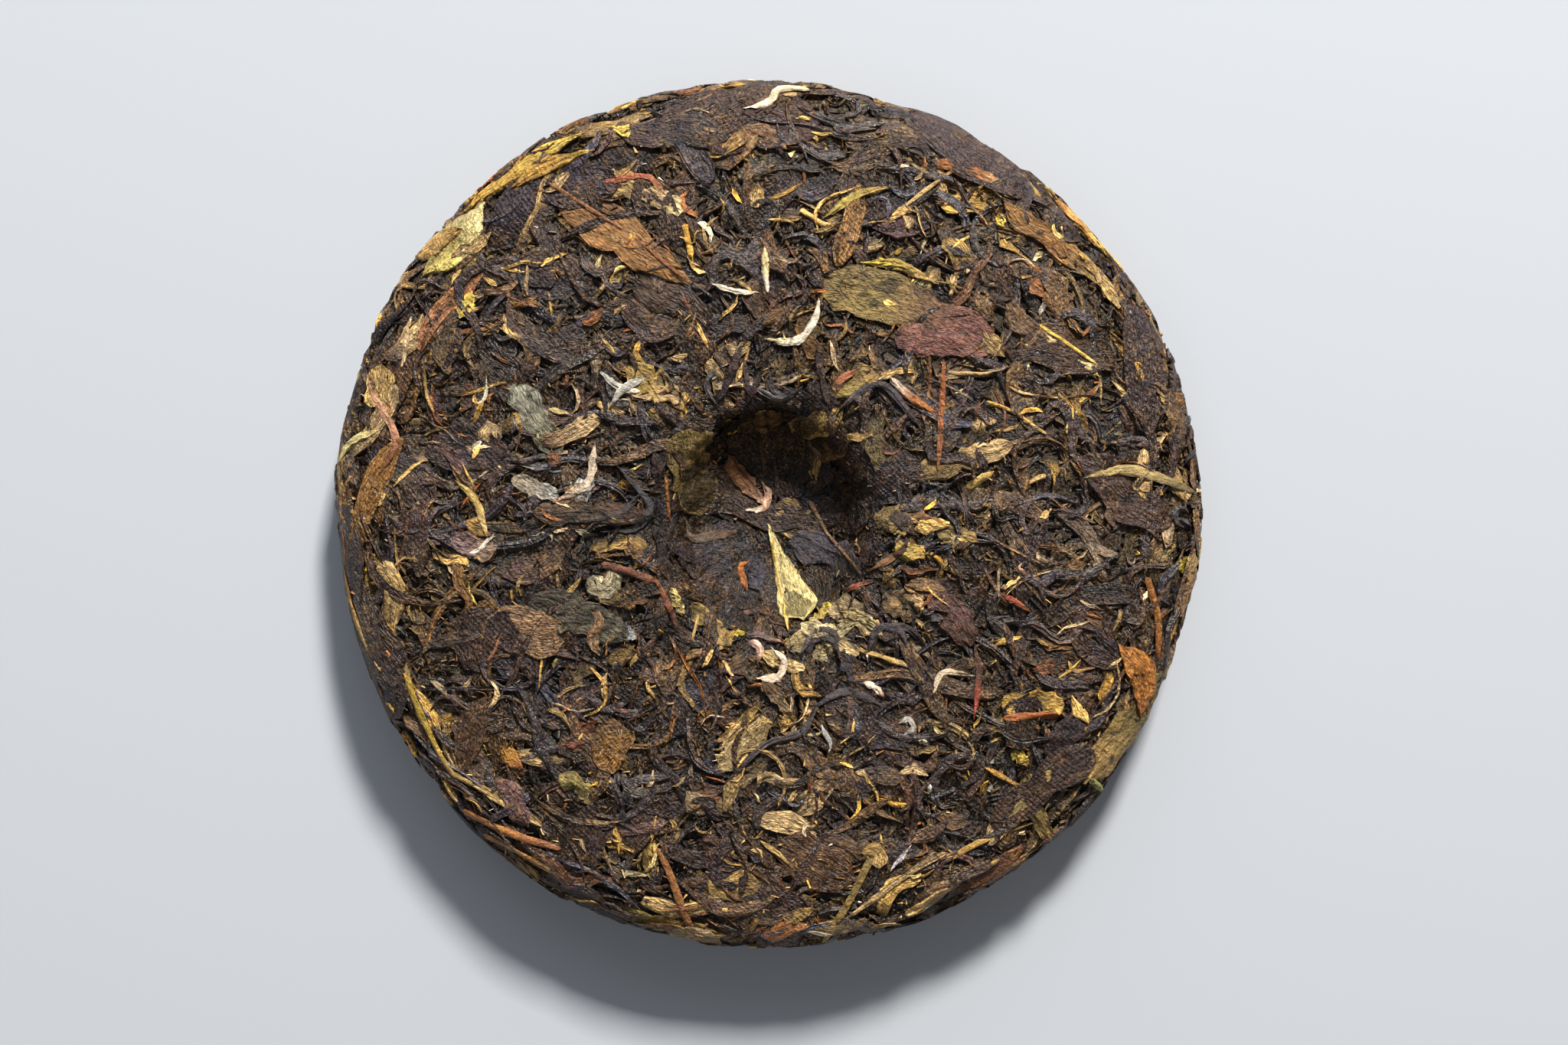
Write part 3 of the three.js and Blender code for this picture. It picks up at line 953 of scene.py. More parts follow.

# %% Broad leaves, torn
# The dark leaves along the mouth and walls of the hollow, at 8.5,25.4 and along x -24 and x 23, are partly
# leaf and partly painted shade: they darken its crease and walls where the shadow falls.
patch_rows = rows_of("""
1.7 1 rust tan 38.7,79.6 47,77.5 55.4,72.3
2.7 0.8 150,98,52 olive 54,70 66,61 77,51.6
1.9 0.9 210,150,74 gold 66.6,71.5 74,64.5 81.2,55.9
3.4 0.6 140,136,116 128,122,92 -57,29 -52,21 -47,13
2.2 0.7 176,160,134 silver -57.5,8 -47.5,4
2.8 0.8 150,125,62 olive -96.5,-7 -95,1
2.2 0.6 150,130,72 olive -47,-59 -38.5,-64
3.2 0.6 196,166,112 176,148,98 -11,-57 -5.5,-52 0,-46.5
3 0.9 150,126,52 olive -38,-89.5 -24,-94.3 -10,-96
4.6 0.8 128,108,52 olive 91,-37 82.4,-48.5 72.5,-60.5
2.8 0.7 charcoal black_brown 69.8,-46 63.5,-57.5
0.8 1 cream cream 58.8,-41.8 60.4,-40.2
3 0.7 154,124,74 tan 32.5,8 44,12 55.4,16
3.5 0.5 charcoal black_brown 8.5,25.4 12.5,26.4 17,27.4
1.7 0.6 black_brown charcoal -23.5,17 -24.6,8 -24,-2
1.8 0.6 black_brown umber -24.2,-1 -23.2,-9 -19.4,-19
1.9 0.6 charcoal black_brown 23,17 24.4,7 22.6,-5
1.6 0.6 black_brown charcoal 22,-5 20,-12 16.6,-17.5
2.6 0.6 112,94,58 olive 24,22 25,14 28,6
3 0.6 168,140,66 olive 24.6,-1.5 32.4,-2.2
2.4 0.6 194,164,82 gold 28.6,-8.2 35.4,-8.8
3.7 0.6 190,152,98 tan 26,-20.2 35,-20.6
2.6 0.6 206,178,126 straw 18,-19 19,-26
2.6 0.6 166,138,66 olive -16.4,-20 -12.5,-24.5 -8.6,-29
1.3 0.8 202,178,108 tan -21.6,-16.6 -18.8,-22.4
2.3 0.5 slate 70,66,78 -4,-8.6 -2.4,-16.4
3.7 0.5 80,72,80 slate 4.6,-6.6 13,-8 20.4,-12.4
1.1 0.7 silver slate -32.6,-28.2 -27.8,-25.3
1.6 0.9 charcoal black_brown 5.2,-26.2 10,-24.8 15.2,-22
1.8 0.8 236,204,106 yellow 9,-24.2 13.7,-19.8
4 0.6 98,66,58 umber 37,-15.6 42,-22 45.4,-29.6
2.6 0.7 slate charcoal 17,-32.6 22.6,-38.4
2.9 0.7 184,144,62 gold 53,-43.2 60,-42.4 66.5,-42.8
1.2 0.8 226,168,60 gold 60.4,-67.4 63.6,-68.6
1.4 0.8 yellow olive 55.2,-54 58.8,-56
3.2 0.6 200,172,122 tan 13.5,-20 19.5,-22 25,-26.5
0.9 1 yellow yellow -7.6,-26.2 -5.2,-26.4
1.6 0.8 140,142,150 silver -34.5,-25 -29.5,-28
3.4 0.6 150,126,62 olive 14.6,28.2 24.8,32.2
3.5 0.6 176,142,72 tan -31.6,32.4 -19.8,26.6
3.2 0.6 186,152,92 tan -37,75.5 -27,72.8
2.7 0.7 194,162,112 straw -28,73.5 -19,68.6
2.8 0.7 160,104,60 rose 59.8,53 69,46.8
3.4 0.5 150,124,74 brown 24,-2 35,1.5
2.4 0.6 160,134,84 olive 38,-3 47,-6
4.2 0.6 88,80,62 112,102,76 -54,-19.5 -43,-22.5 -32,-27.5
3.3 0.6 92,71,52 umber -52,0.5 -39,0.5 -26,-0.5
2 0.7 214,188,136 straw 10.2,-31.4 14.8,-31.8
""")

# %% Pale leaves, whole
pale_leaf_rows = rows_of("""
5.4 0.9 208,184,100 226,204,140 -78,55 -71.5,62 -65,71
2.8 0.9 200,156,66 214,180,78 -70,69.5 -58,79 -43,86.5
1.9 0.9 176,132,56 196,158,70 -58,74.5 -49,80 -40,82.5
""")

# %% Pale leaves, torn
pale_rows = rows_of("""
6.2 0.6 140,116,62 136,88,74 13.6,52 33,46.5 51.5,37.1
3.4 0.6 138,90,76 148,104,88 29,40.5 47,37
7.4 0.6 150,124,70 120,100,60 -17.5,18.5 -17,10 -15.4,0.5
2.7 0.6 206,178,122 tan 4,-29 12,-27.4 20,-31.2
2.2 0.6 222,196,144 straw 7.6,-24.5 13,-26.4 19,-24.6
1.7 0.6 196,164,104 tan -1,-31 3,-33.4 8,-34.4
1.4 0.6 210,180,120 straw 16,-21.4 21,-23 25.6,-27
""")

# %% The wedge-shaped leaf in the hollow
wedge_rows = rows_of("""
5.2 0.6 252,226,150 250,226,146 0.1,-2.6 3.4,-12 7.4,-22.8
""")

# %% Twisted strands and buds
strand_rows = rows_of("""
1.15 1.2 226,200,158 cream 10.4,97.2 2.7,97 0.5,93.6 -5,92
1.15 1.4 cream straw 11.7,48.2 10.8,43.9 7.8,39.8 3.9,38.9 -0.4,39.8
0.8 1.1 96,90,92 slate -12,33 -14,29 -12,25
0.75 1.1 charcoal slate -5.5,35 -4.6,29 -3.5,25
0.75 1.1 slate charcoal 0.3,32 0.8,28.5 3,26.5 6,28
1 1.2 70,62,62 charcoal 15,22 20,27 26,29 34,20
0.8 1.1 70,62,62 charcoal 9.5,-33 10,-28.5 14.5,-28.3 16.5,-33
0.9 1.1 112,90,84 rose -4.9,-26.3 -1,-27.2 3.3,-28.5
1 1.1 226,182,160 rose -5,-27.5 -2,-30 -2.5,-33.5
0.8 1.1 70,62,62 slate -32.4,4 -27,3 -26.5,-1 -32,-3.5
1.5 1 134,88,52 brown -8.6,13.4 -8,9 -4.5,5.5
0.95 1.1 216,168,138 cream -1.5,7.5 -0.2,5 -1,1.5 -5,1
0.55 0.9 charcoal umber 1.2,13.5 1.9,7 1.3,2
1.4 1 100,84,68 umber -18,-1 -17,-5 -11,-4.5 -7.5,-4
0.8 1 192,112,50 rust -4.5,-10.5 -6.4,-12 -4.6,-17.5
0.85 1.1 152,82,54 chestnut 16.8,-17.2 24.5,-14.3
0.85 1.1 120,84,52 umber 22.6,-12.5 29,-9 32,-5
1 1.1 172,106,74 chestnut 15,29.5 20,32.5
0.9 1.2 66,58,58 charcoal 22.5,-33 25,-26 31,-25.5 37,-31
0.95 1.2 cream rust 21.6,-37.6 24,-39 26.4,-41.5
0.85 1.1 82,52,42 180,84,60 46.5,-28.6 47.4,-36 46.5,-45.8
0.7 1 cream cream 34,-51 36.6,-51.8
0.9 1.1 144,142,80 olive 72.3,-59.5 78.4,-64.7
0.8 1 silver silver 29.5,-47 31.6,-46 32.8,-48 31,-49.6
0.8 1.1 152,74,46 rust 52.6,-18 59.4,-22
0.75 1.1 cream tan -12.4,51.8 -7,50.2 -2,50
0.85 1.1 straw cream -0.8,60 -0.6,55 0.1,50.2
1.2 1.3 silver cream -37.5,32 -34,28.8 -28.8,27.6
1 1.2 silver silver -35.5,24.8 -32.4,28.4 -27.4,30.6
1.05 1.2 216,192,164 rose -39,15.4 -41,7 -48,3
1.1 1.1 214,196,132 tan -98.2,12 -95,16.5 -87.8,19
0.95 1.1 190,138,106 chestnut -90.6,29.5 -84.4,17.5 -87.6,9.5
0.85 1.2 78,70,70 charcoal 10.8,-43.5 7.5,-49 -0.8,-52.2 -9,-60
1.1 1.2 70,64,66 charcoal 10.8,-42.8 17.7,-39.7 26.5,-43.6
1.15 1.3 236,206,178 cream -2.6,-36.8 2,-36.6 3.8,-33.2 0.8,-30
0.75 1.1 222,198,164 tan 37.4,-40 39.5,-35.6 46.5,-36.4
1.3 1.2 176,150,94 112,96,60 72,8.3 82,10 98,4.9
0.85 1.1 70,64,66 charcoal 7.6,-31 10.6,-26 15.4,-27 14.6,-31.6
0.85 1.1 70,64,66 slate 22.6,-31 24.6,-26 29.4,-26 31.6,-30.6
0.95 1.2 70,66,68 charcoal -37,-4 -29.1,-3 -26.6,2.3 -34,10.8
0.8 1.1 64,60,62 slate -41,-1.4 -33,0.6 -28.4,5
0.85 1.1 124,118,114 slate -4.4,29.4 2.2,25.8 7.6,28.4
1 1.1 charcoal slate -6,38 -8.5,31 -11.5,25
1 1.1 black_brown charcoal -1,37 -2,31 -5,24.5
1 1.1 charcoal umber 11,37 12,31 14,24
0.9 1.2 186,156,84 tan -70.4,7.4 -66,3 -63.4,-4.6
1.15 1.2 rust 232,208,180 37.6,22.9 32,26.6 27.2,31.2
1 1.2 170,124,60 olive -97,-12 -95,-22 -91,-31
1 1.2 184,160,74 olive 13,67 20,72 28,74
""")

# %% Stalks
stem_rows = rows_of("""
0.4 0.9 216,180,70 gold 61.6,42.6 68,38.4 74,34
0.95 1.1 178,146,48 olive -81.8,-37 -76.8,-49.6 -72.4,-58.2 -67.4,-61
0.95 1.1 172,112,56 chestnut -69,-67.6 -60.5,-71.5 -47.6,-75.6
0.9 1.1 160,108,54 olive -64.4,-73.2 -56.1,-77.1 -47,-82.2
0.95 1.1 136,88,46 chestnut -24.8,-75.8 -21.4,-83.1 -17.3,-95
1 1.1 126,104,56 olive 24.2,-76.4 19.4,-85.3 12.8,-97
0.95 1 168,96,46 rust 53.4,-45.8 66.4,-45.2
0.85 1 154,98,42 rust 85.8,-14.6 88.5,-23 88.8,-32.4
1.15 1.2 248,208,120 gold 45,5.8 50.8,9.5
0.75 1 146,82,42 chestnut 39.6,34 39,22 38.4,10.6
0.8 1 208,168,92 tan 19.3,-30 32,-34.2
1.15 1.1 112,66,46 chestnut -37,-11.2 -24.8,-15.3
0.45 0.9 162,102,46 rust -22.5,8 -22,2 -21.3,-2.5
0.5 0.8 114,86,58 brown 9.7,2.6 14,-5 20.5,-12.8
0.8 1.1 124,72,46 umber -25,-15 -22,-21 -19.5,-28.4
0.9 1 206,154,56 gold -18.9,65.2 -17,57.6
0.7 1 152,76,50 chestnut -36.6,75 -27.4,76.4 -23.2,72.2
0.55 0.8 206,160,64 gold 0.1,-2.4 1.9,-13 4.4,-25.2
0.45 0.8 134,84,48 chestnut -49,74.6 -34.6,65.4 -19,53.4
""")

# %% The two sides
WIDE = (64, 33, 16)  # the lattice of a broad leaf
FACE_SHARE = 0.36  # how many leaves the face has for each one of the back, as they are larger
rng = np.random.default_rng(20)
back_pile = Pile(back)
back_batches = {name: [batch] for name, batch in strew_all(back_pile, rng, 1.0).items()}
for name, kind in LATE_KINDS:
    back_batches.setdefault(name, []).append(strewn(back_pile, rng, **kind))
# Piece, form, rows, lattice, how late, and shape.
for name, form, rows, lattice, late, shape in (
    ("broad_leaves", large_leaf, leaf_rows, WIDE, 0.93, dict(ragged=0.16, notches=12, crumple=0.16)),
    ("broad_leaves", patch, patch_rows, WIDE, 0.93, dict(ragged=0.24, notches=14, crumple=0.18)),
    ("pale_leaves", patch, pale_rows, WIDE, 0.96, dict(ragged=0.18, notches=14, crumple=0.2)),
    ("pale_leaves", large_leaf, pale_leaf_rows, WIDE, 0.955, dict(ragged=0.08, notches=8, crumple=0.16)),
    ("pale_leaves", wedge, wedge_rows, WIDE, 0.985, dict(ragged=0.05, notches=12, crumple=0.1)),
    ("long_strands", long_strand, strand_rows, (72, 6, 12), 0.975, dict(ragged=0.1, crumple=0.07, twist=0.4)),
    ("stems", stem, stem_rows, (40, 3, 5), 0.97, dict(ragged=0.06, crumple=0.04)),
):
    back_batches.setdefault(name, []).append(laid(back_pile, form, rng, rows, lattice, late, **shape))
dropped = settle(back_pile, [b for group in back_batches.values() for b in group])
back_batches["grit"] = [gap_grit(back_pile, rng, 4200)]
settle(back_pile, back_batches["grit"], dropped)

face_pile = Pile(face)
face_batches = {name: [batch] for name, batch in strew_all(face_pile, rng, FACE_SHARE).items()}
settle(face_pile, [b for group in face_batches.values() for b in group])

# %% [markdown]
# ## The press
#
# The stone squeezes the pile until the tops of the leaves lie nearly level, just under the skin of the packed
# disc, with only narrow dark gaps between them. Higher leaves are pushed down more than lower ones, but their
# order stays, so no leaf ends up through another.

# %% Sizes of the press
SINK = 0.72  # mm from the disc's skin down to the middle level of the leaves of the back
FACE_SINK = 0.32  # and on the face, which lay against the flat of the press
FACE_CAP = 0.25  # mm that leaves of the face may stand above their level
CRUSH = 0.76  # what the press leaves of a height over the level, in the middle of the back
CAP_ABOVE, CAP_BELOW = 0.48, 1.0  # mm that leaves of the back may stand above their level, or lie below it
LOOSE_ABOVE, LOOSE_BELOW = 0.38, 0.7  # and what the rim adds to that, as it is pressed less
GATHER_DEPTH = 0.25  # mm: the cloth's gathers in the hollow
CREASE_DEPTH, CREASE_WIDTH = 0.9, 1.1  # mm: the crease at the mouth of the hollow
FOLD_DEPTH, FOLD_WIDTH = 0.8, 0.85  # mm: the folds over the back
MOUTH = math.hypot(*back.chart_of(-24.4, 0))  # mm along the skin from the pole to the hollow's left edge
print(f"the mouth of the hollow lies {MOUTH:.1f} mm along the skin from the pole")

# %% Squeezing a pile
# The folds of the bag that cut into the back: the angle at the mouth, how it bends on the way out, in
# degrees, and how far out it reaches, in mm. The disc has the broad creases, and most of these are their
# sharp bottoms.
BAG_FOLDS = [
    (8, -4, 96), (-19, -8, 84), (70, 6, 70), (118, -6, 62), (150, 4, 58), (186, 5, 70), (212, -5, 60),
    (232, -7, 62), (262, 5, 58), (292, 8, 64), (328, -6, 66),
]


def bag_folds(x, y):
    """How deep the thin grooves of the folds are, from 0 to 1."""
    out, turn = np.hypot(x, y), np.arctan2(y, x)
    depth = np.zeros_like(x)
    for angle, bend, reach in BAG_FOLDS:
        bent = np.radians(angle + bend * (out - HOLLOW_END) / HOLLOW_END)
        aside = out * np.angle(np.exp(1j * (turn - bent)))
        ends = np.clip((out - MOUTH + 4) / 6, 0, 1) * np.clip((reach + 6 - out) / 24, 0, 1)
        depth = np.maximum(depth, ends * np.exp(-((aside / FOLD_WIDTH) ** 2)))
    return depth


def press(pile, x, y, height):
    """How far outside the skin, in mm, points of the pile end up."""
    above = height - pile.sample(pile.level, x, y)
    out = np.hypot(x, y)
    if pile.side.facing < 0:
        above = above * 0.5
        return np.where(above > 0, FACE_CAP * np.tanh(above / FACE_CAP), above) - FACE_SINK
    loose = np.clip((out - RIM_START) / 12, 0, 1)
    above = above * (CRUSH + (1 - CRUSH) * loose)
    cap = np.where(above > 0, CAP_ABOVE + LOOSE_ABOVE * loose, CAP_BELOW + LOOSE_BELOW * loose)
    # The cloth was gathered towards the knot, so its folds run down the walls of the hollow.
    gathered = np.clip(out / 8, 0, 1) * np.clip((HOLLOW_END + 6 - out) / 16, 0, 1)
    turn = np.arctan2(y, x)
    fold = np.sin(11 * turn + 0.06 * out) + 0.8 * np.sin(17 * turn + 2.0 - 0.05 * out)
    fold = fold + 0.5 * np.sin(29 * turn)
    # On the left the mouth of the hollow has a sharp crease.
    on_left = np.clip(1.6 * np.cos(turn - math.radians(186)) - 0.5, 0, 1)
    crease = np.exp(-(((out - MOUTH) / CREASE_WIDTH) ** 2)) * on_left
    grooves = GATHER_DEPTH * gathered * np.abs(fold) ** 0.7 + CREASE_DEPTH * crease
    return cap * np.tanh(above / cap) - SINK - (grooves + FOLD_DEPTH * bag_folds(x, y))


# %% [markdown]
# ### From leaves to meshes
#
# Thousands of objects would make the scene slow, so all the leaves of one kind become one mesh. Each leaf is
# a copy of its form, moved corner by corner: to its place on the chart, twisted, roughened, pressed, and then
# put on the cake. It takes its colour along, the grain of the leaf for the finish, and a cell of its own on
# the texture that the colours can be baked to.

# %% Where the corners of the leaves are
TWIST_AXIS = 0.42  # the height that a leaf twists round, as a share of its thickness
FRAY = 0.12  # mm that the corners of a leaf stray sideways, or less on a narrow leaf
ROOT = 0.12  # mm that the underside reaches into what the leaf lies on
DARKEST, LIGHTEST = 0.12, 1.35  # how far the painted shade and light of depth may darken or brighten a leaf
UNDERSIDE_SHADE = 0.35  # how light the underside and the foot of the edges are, against the top: painted shade where a leaf meets what it lies on


def shaped(batch):
    """Where the corners of every leaf of a batch are on the cake, and their colours and grain."""
    form, keep = batch.form, batch.kept
    n, size = int(keep.sum()), len(form["along"])
    along, width = form["along"], form["width"]
    x, y = batch.spots(along, width)
    rough = batch.rng.normal(0, 1, (batch.count, size)) * batch.crumple
    height = form["height"][None, :] * batch.thickness[:, None]
    turned = np.zeros((batch.count, size))
    slot = (np.clip(along, 0, 1) * (MIDLINE - 1)).astype(int)
    aim = batch.aim[:, slot]
    if batch.twist.any():
        # A twisted leaf turns round its own middle line, more at one end than at the other.
        off = width[None, :] * batch.half_width[:, None]
        axis = TWIST_AXIS * batch.thickness[:, None]
        lift = height - axis
        turned = batch.twist[:, :1] * 0.5 + batch.twist[:, 1:] * 2.4 * (along[None, :] - 0.5)
        new_off = off * np.cos(turned) - lift * np.sin(turned)
        height = off * np.sin(turned) + lift * np.cos(turned) + axis
        x = x - (new_off - off) * np.sin(aim)
        y = y + (new_off - off) * np.cos(aim)
    # The edges are frayed, and the leaf is rough.
    fray = batch.rng.normal(0, 1, (2, batch.count, size))
    fray = fray * np.minimum(FRAY, 0.1 * batch.half_width)[:, None]
    x, y = x + fray[0], y + fray[1]
    height = height + np.where(form["height"] > 0.3, rough, rough * 0.3 - ROOT)
    lift = press(batch.pile, x, y, batch.under + height)
    level = FACE_SINK if batch.pile.side.facing < 0 else SINK
    place = batch.pile.side.place(x, y, lift)[keep]
    at = np.clip(along, 0, 1)[None, :, None]
    mix = np.clip((at - 0.3 - 0.4 * batch.seed[keep][:, None, None]) * 2.5, 0, 1)
    colour = batch.colour[keep][:, None, :] * (1 - mix) + batch.tip_colour[keep][:, None, :] * mix
    # Leaf is lighter or darker towards one edge, or at its edges against its middle, and blotched. Painted
    # light and
    # shade: what lies higher in the pile is lighter, what lies deeper is darker, and the underside is darker
    # still.
    lean, fold = batch.rng.normal(0, 0.16, (2, n, 1))
    blotch = batch.rng.normal(0, 0.07, (n, size))
    tone = np.exp(lean * width[None, :] + fold * (np.abs(width[None, :]) - 0.5) + blotch)
    deep = np.clip(1 + batch.depth_shade * (lift[keep] + level), DARKEST, LIGHTEST)
    deep[:, form["height"] < 0.2] *= UNDERSIDE_SHADE
    colour = colour * (tone * deep)[:, :, None]
    grain = np.stack([
        along[None, :] * batch.length[keep][:, None],
        (width[None, :] + 1.2 * turned[keep]) * batch.half_width[keep][:, None],
        np.repeat(batch.seed[keep][:, None], size, 1) * 100,
    ], -1)
    faces = form["faces"][None, :, :] + np.arange(n)[:, None, None] * size
    cells = np.repeat(form["cell"][None], n, axis=0)
    return place.reshape(-1, 3), faces.reshape(-1, 3), colour.reshape(-1, 3), grain.reshape(-1, 3), cells


# %% Making the mesh of a kind of leaf
BOX_MARGIN = 0.01  # mm that leaves stay inside the disc's box
SHARP_EDGE = 48  # degrees between faces, above which an edge of a leaf isn't shaded smooth


def mesh_piece(name, batches, material):
    """Joins the seen leaves of some batches into one mesh with colours and a grain along each leaf."""
    leaves = sum(int(batch.kept.sum()) for batch in batches)
    columns = math.ceil(math.sqrt(leaves / 2))
    rows = math.ceil(leaves / columns)
    first, number, parts = 0, 0, []
    for batch in batches:
        place, net, colour, grain, cells = shaped(batch)
        mine = number + np.arange(len(cells))
        corner = np.stack([mine % columns, mine // columns], -1)[:, None, None, :]
        spots = ((cells + corner) / (columns, rows)).reshape(-1, 2)
        parts.append((place, net + first, colour, grain, spots))
        number += len(cells)
        first += len(place)
    points, faces, colours, grains, spots = map(np.concatenate, zip(*parts))
    box_low, box_high = np.array(cad_box[0]) / MM, np.array(cad_box[1]) / MM
    points = np.clip(points, box_low + BOX_MARGIN, box_high - BOX_MARGIN)
    mesh = bpy.data.meshes.new(name)
    mesh.vertices.add(len(points))
    mesh.vertices.foreach_set("co", (points * MM).astype(np.float32).ravel())
    mesh.loops.add(faces.size)
    mesh.loops.foreach_set("vertex_index", faces.astype(np.int32).ravel())
    mesh.polygons.add(len(faces))
    mesh.polygons.foreach_set("loop_start", np.arange(0, faces.size, 3, dtype=np.int32))
    mesh.update(calc_edges=True)
    tint = mesh.color_attributes.new("leaf_colour", "FLOAT_COLOR", "POINT")
    rgba = np.ones((len(points), 4), np.float32)
    rgba[:, :3] = colours
    tint.data.foreach_set("color", rgba.ravel())
    grain = mesh.attributes.new("along_leaf", "FLOAT_VECTOR", "POINT")
    grain.data.foreach_set("vector", grains.astype(np.float32).ravel())
    baked = mesh.uv_layers.new(name="OFBake")
    baked.data.foreach_set("uv", spots.astype(np.float32).ravel())
    piece = bpy.data.objects.new(name, mesh)
    bpy.context.scene.collection.objects.link(piece)
    mesh.materials.append(material)
    select_only(piece)
    bpy.ops.object.shade_smooth_by_angle(angle=math.radians(SHARP_EDGE))
    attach(piece, "root")
    print(f"{name}: {leaves} leaves, {len(faces)} triangles")
    return len(faces)


# %% [markdown]
# ## Finishes
#
# Dry tea leaf has long fibres, folds and wrinkles from the rolling, mottled browns, and a faint print of the
# bag's cloth where the stone pressed it. A finish is a procedural material: its colour comes from the mesh's
# `leaf_colour`, and its ribs run by `along_leaf`, so they follow every bend of a leaf. This relief is bump,
# because it is finer than the mesh of a leaf. Modelling it would take millions of faces.

# %% Helpers for the nodes of a finish
def node(net, kind, inputs, **settings):
    """A new node. inputs sets its sockets to values, or links them to outputs. settings sets its menus."""
    made = net.nodes.new(kind)
    for key, value in settings.items():
        setattr(made, key, value)
    for key, value in inputs.items():
        if isinstance(value, bpy.types.NodeSocket):
            net.links.new(value, made.inputs[key])
        else:
            made.inputs[key].default_value = value
    return made


def ranged(net, source, low, high, to_low, to_high):
    """A value stretched from one range to another."""
    return node(net, "ShaderNodeMapRange", {0: source, 1: low, 2: high, 3: to_low, 4: to_high}).outputs[0]


def counted(net, operation, *values):
    """What an operation makes of numbers."""
    return node(net, "ShaderNodeMath", dict(enumerate(values)), operation=operation).outputs[0]


def times(net, first, second):
    """Two values multiplied."""
    return counted(net, "MULTIPLY", first, second)


def vector(net, operation, *values):
    """What an operation makes of vectors."""
    return node(net, "ShaderNodeVectorMath", dict(enumerate(values)), operation=operation).outputs[0]


def noise(net, place, scale, detail, roughness=0.6, distortion=0.0):
    """Cloudy noise. It has a value, Fac, and a Color."""
    inputs = {"Vector": place, "Scale": scale, "Detail": detail, "Roughness": roughness}
    return node(net, "ShaderNodeTexNoise", {**inputs, "Distortion": distortion}).outputs


def shaken(net, place, colour, reach):
    """A place that a noise colour moves about, by up to half the reach to either side."""
    shift = vector(net, "MULTIPLY_ADD", colour, (reach,) * 3, (-reach / 2,) * 3)
    return vector(net, "ADD", place, shift)


def mixed(net, share, first, second):
    """Two colours mixed."""
    return node(net, "ShaderNodeMix", {"Factor": share, 6: first, 7: second}, data_type="RGBA").outputs[2]


# %% The finish of dry leaf
AGED = (*linear(132, 98, 54), 1)  # the golden brown that dark leaf turns to in clouds


def cloth_folds(net, place):
    """Thin lines that run out from the hollow over the back, where folds of the bag pressed in. They are 0
    in a line and 1 beside it."""
    level = vector(net, "MULTIPLY", place, (1.0, 1.0, 0.0))
    aim = vector(net, "NORMALIZE", level)
    bent = shaken(net, aim, noise(net, place, 26.0, 3.0)["Color"], 0.5)
    beside = counted(net, "SUBTRACT", noise(net, bent, 2.6, 1.0, 0.5)["Fac"], 0.5)
    line = ranged(net, counted(net, "ABSOLUTE", beside), 0.006, 0.022, 1.0, 0.0)
    reach = node(net, "ShaderNodeVectorMath", {0: level}, operation="LENGTH").outputs["Value"]
    fade = ranged(net, reach, 0.045, 0.085, 1.0, 0.0)
    return ranged(net, times(net, fade, line), 0.0, 1.0, 1.0, 0.0)


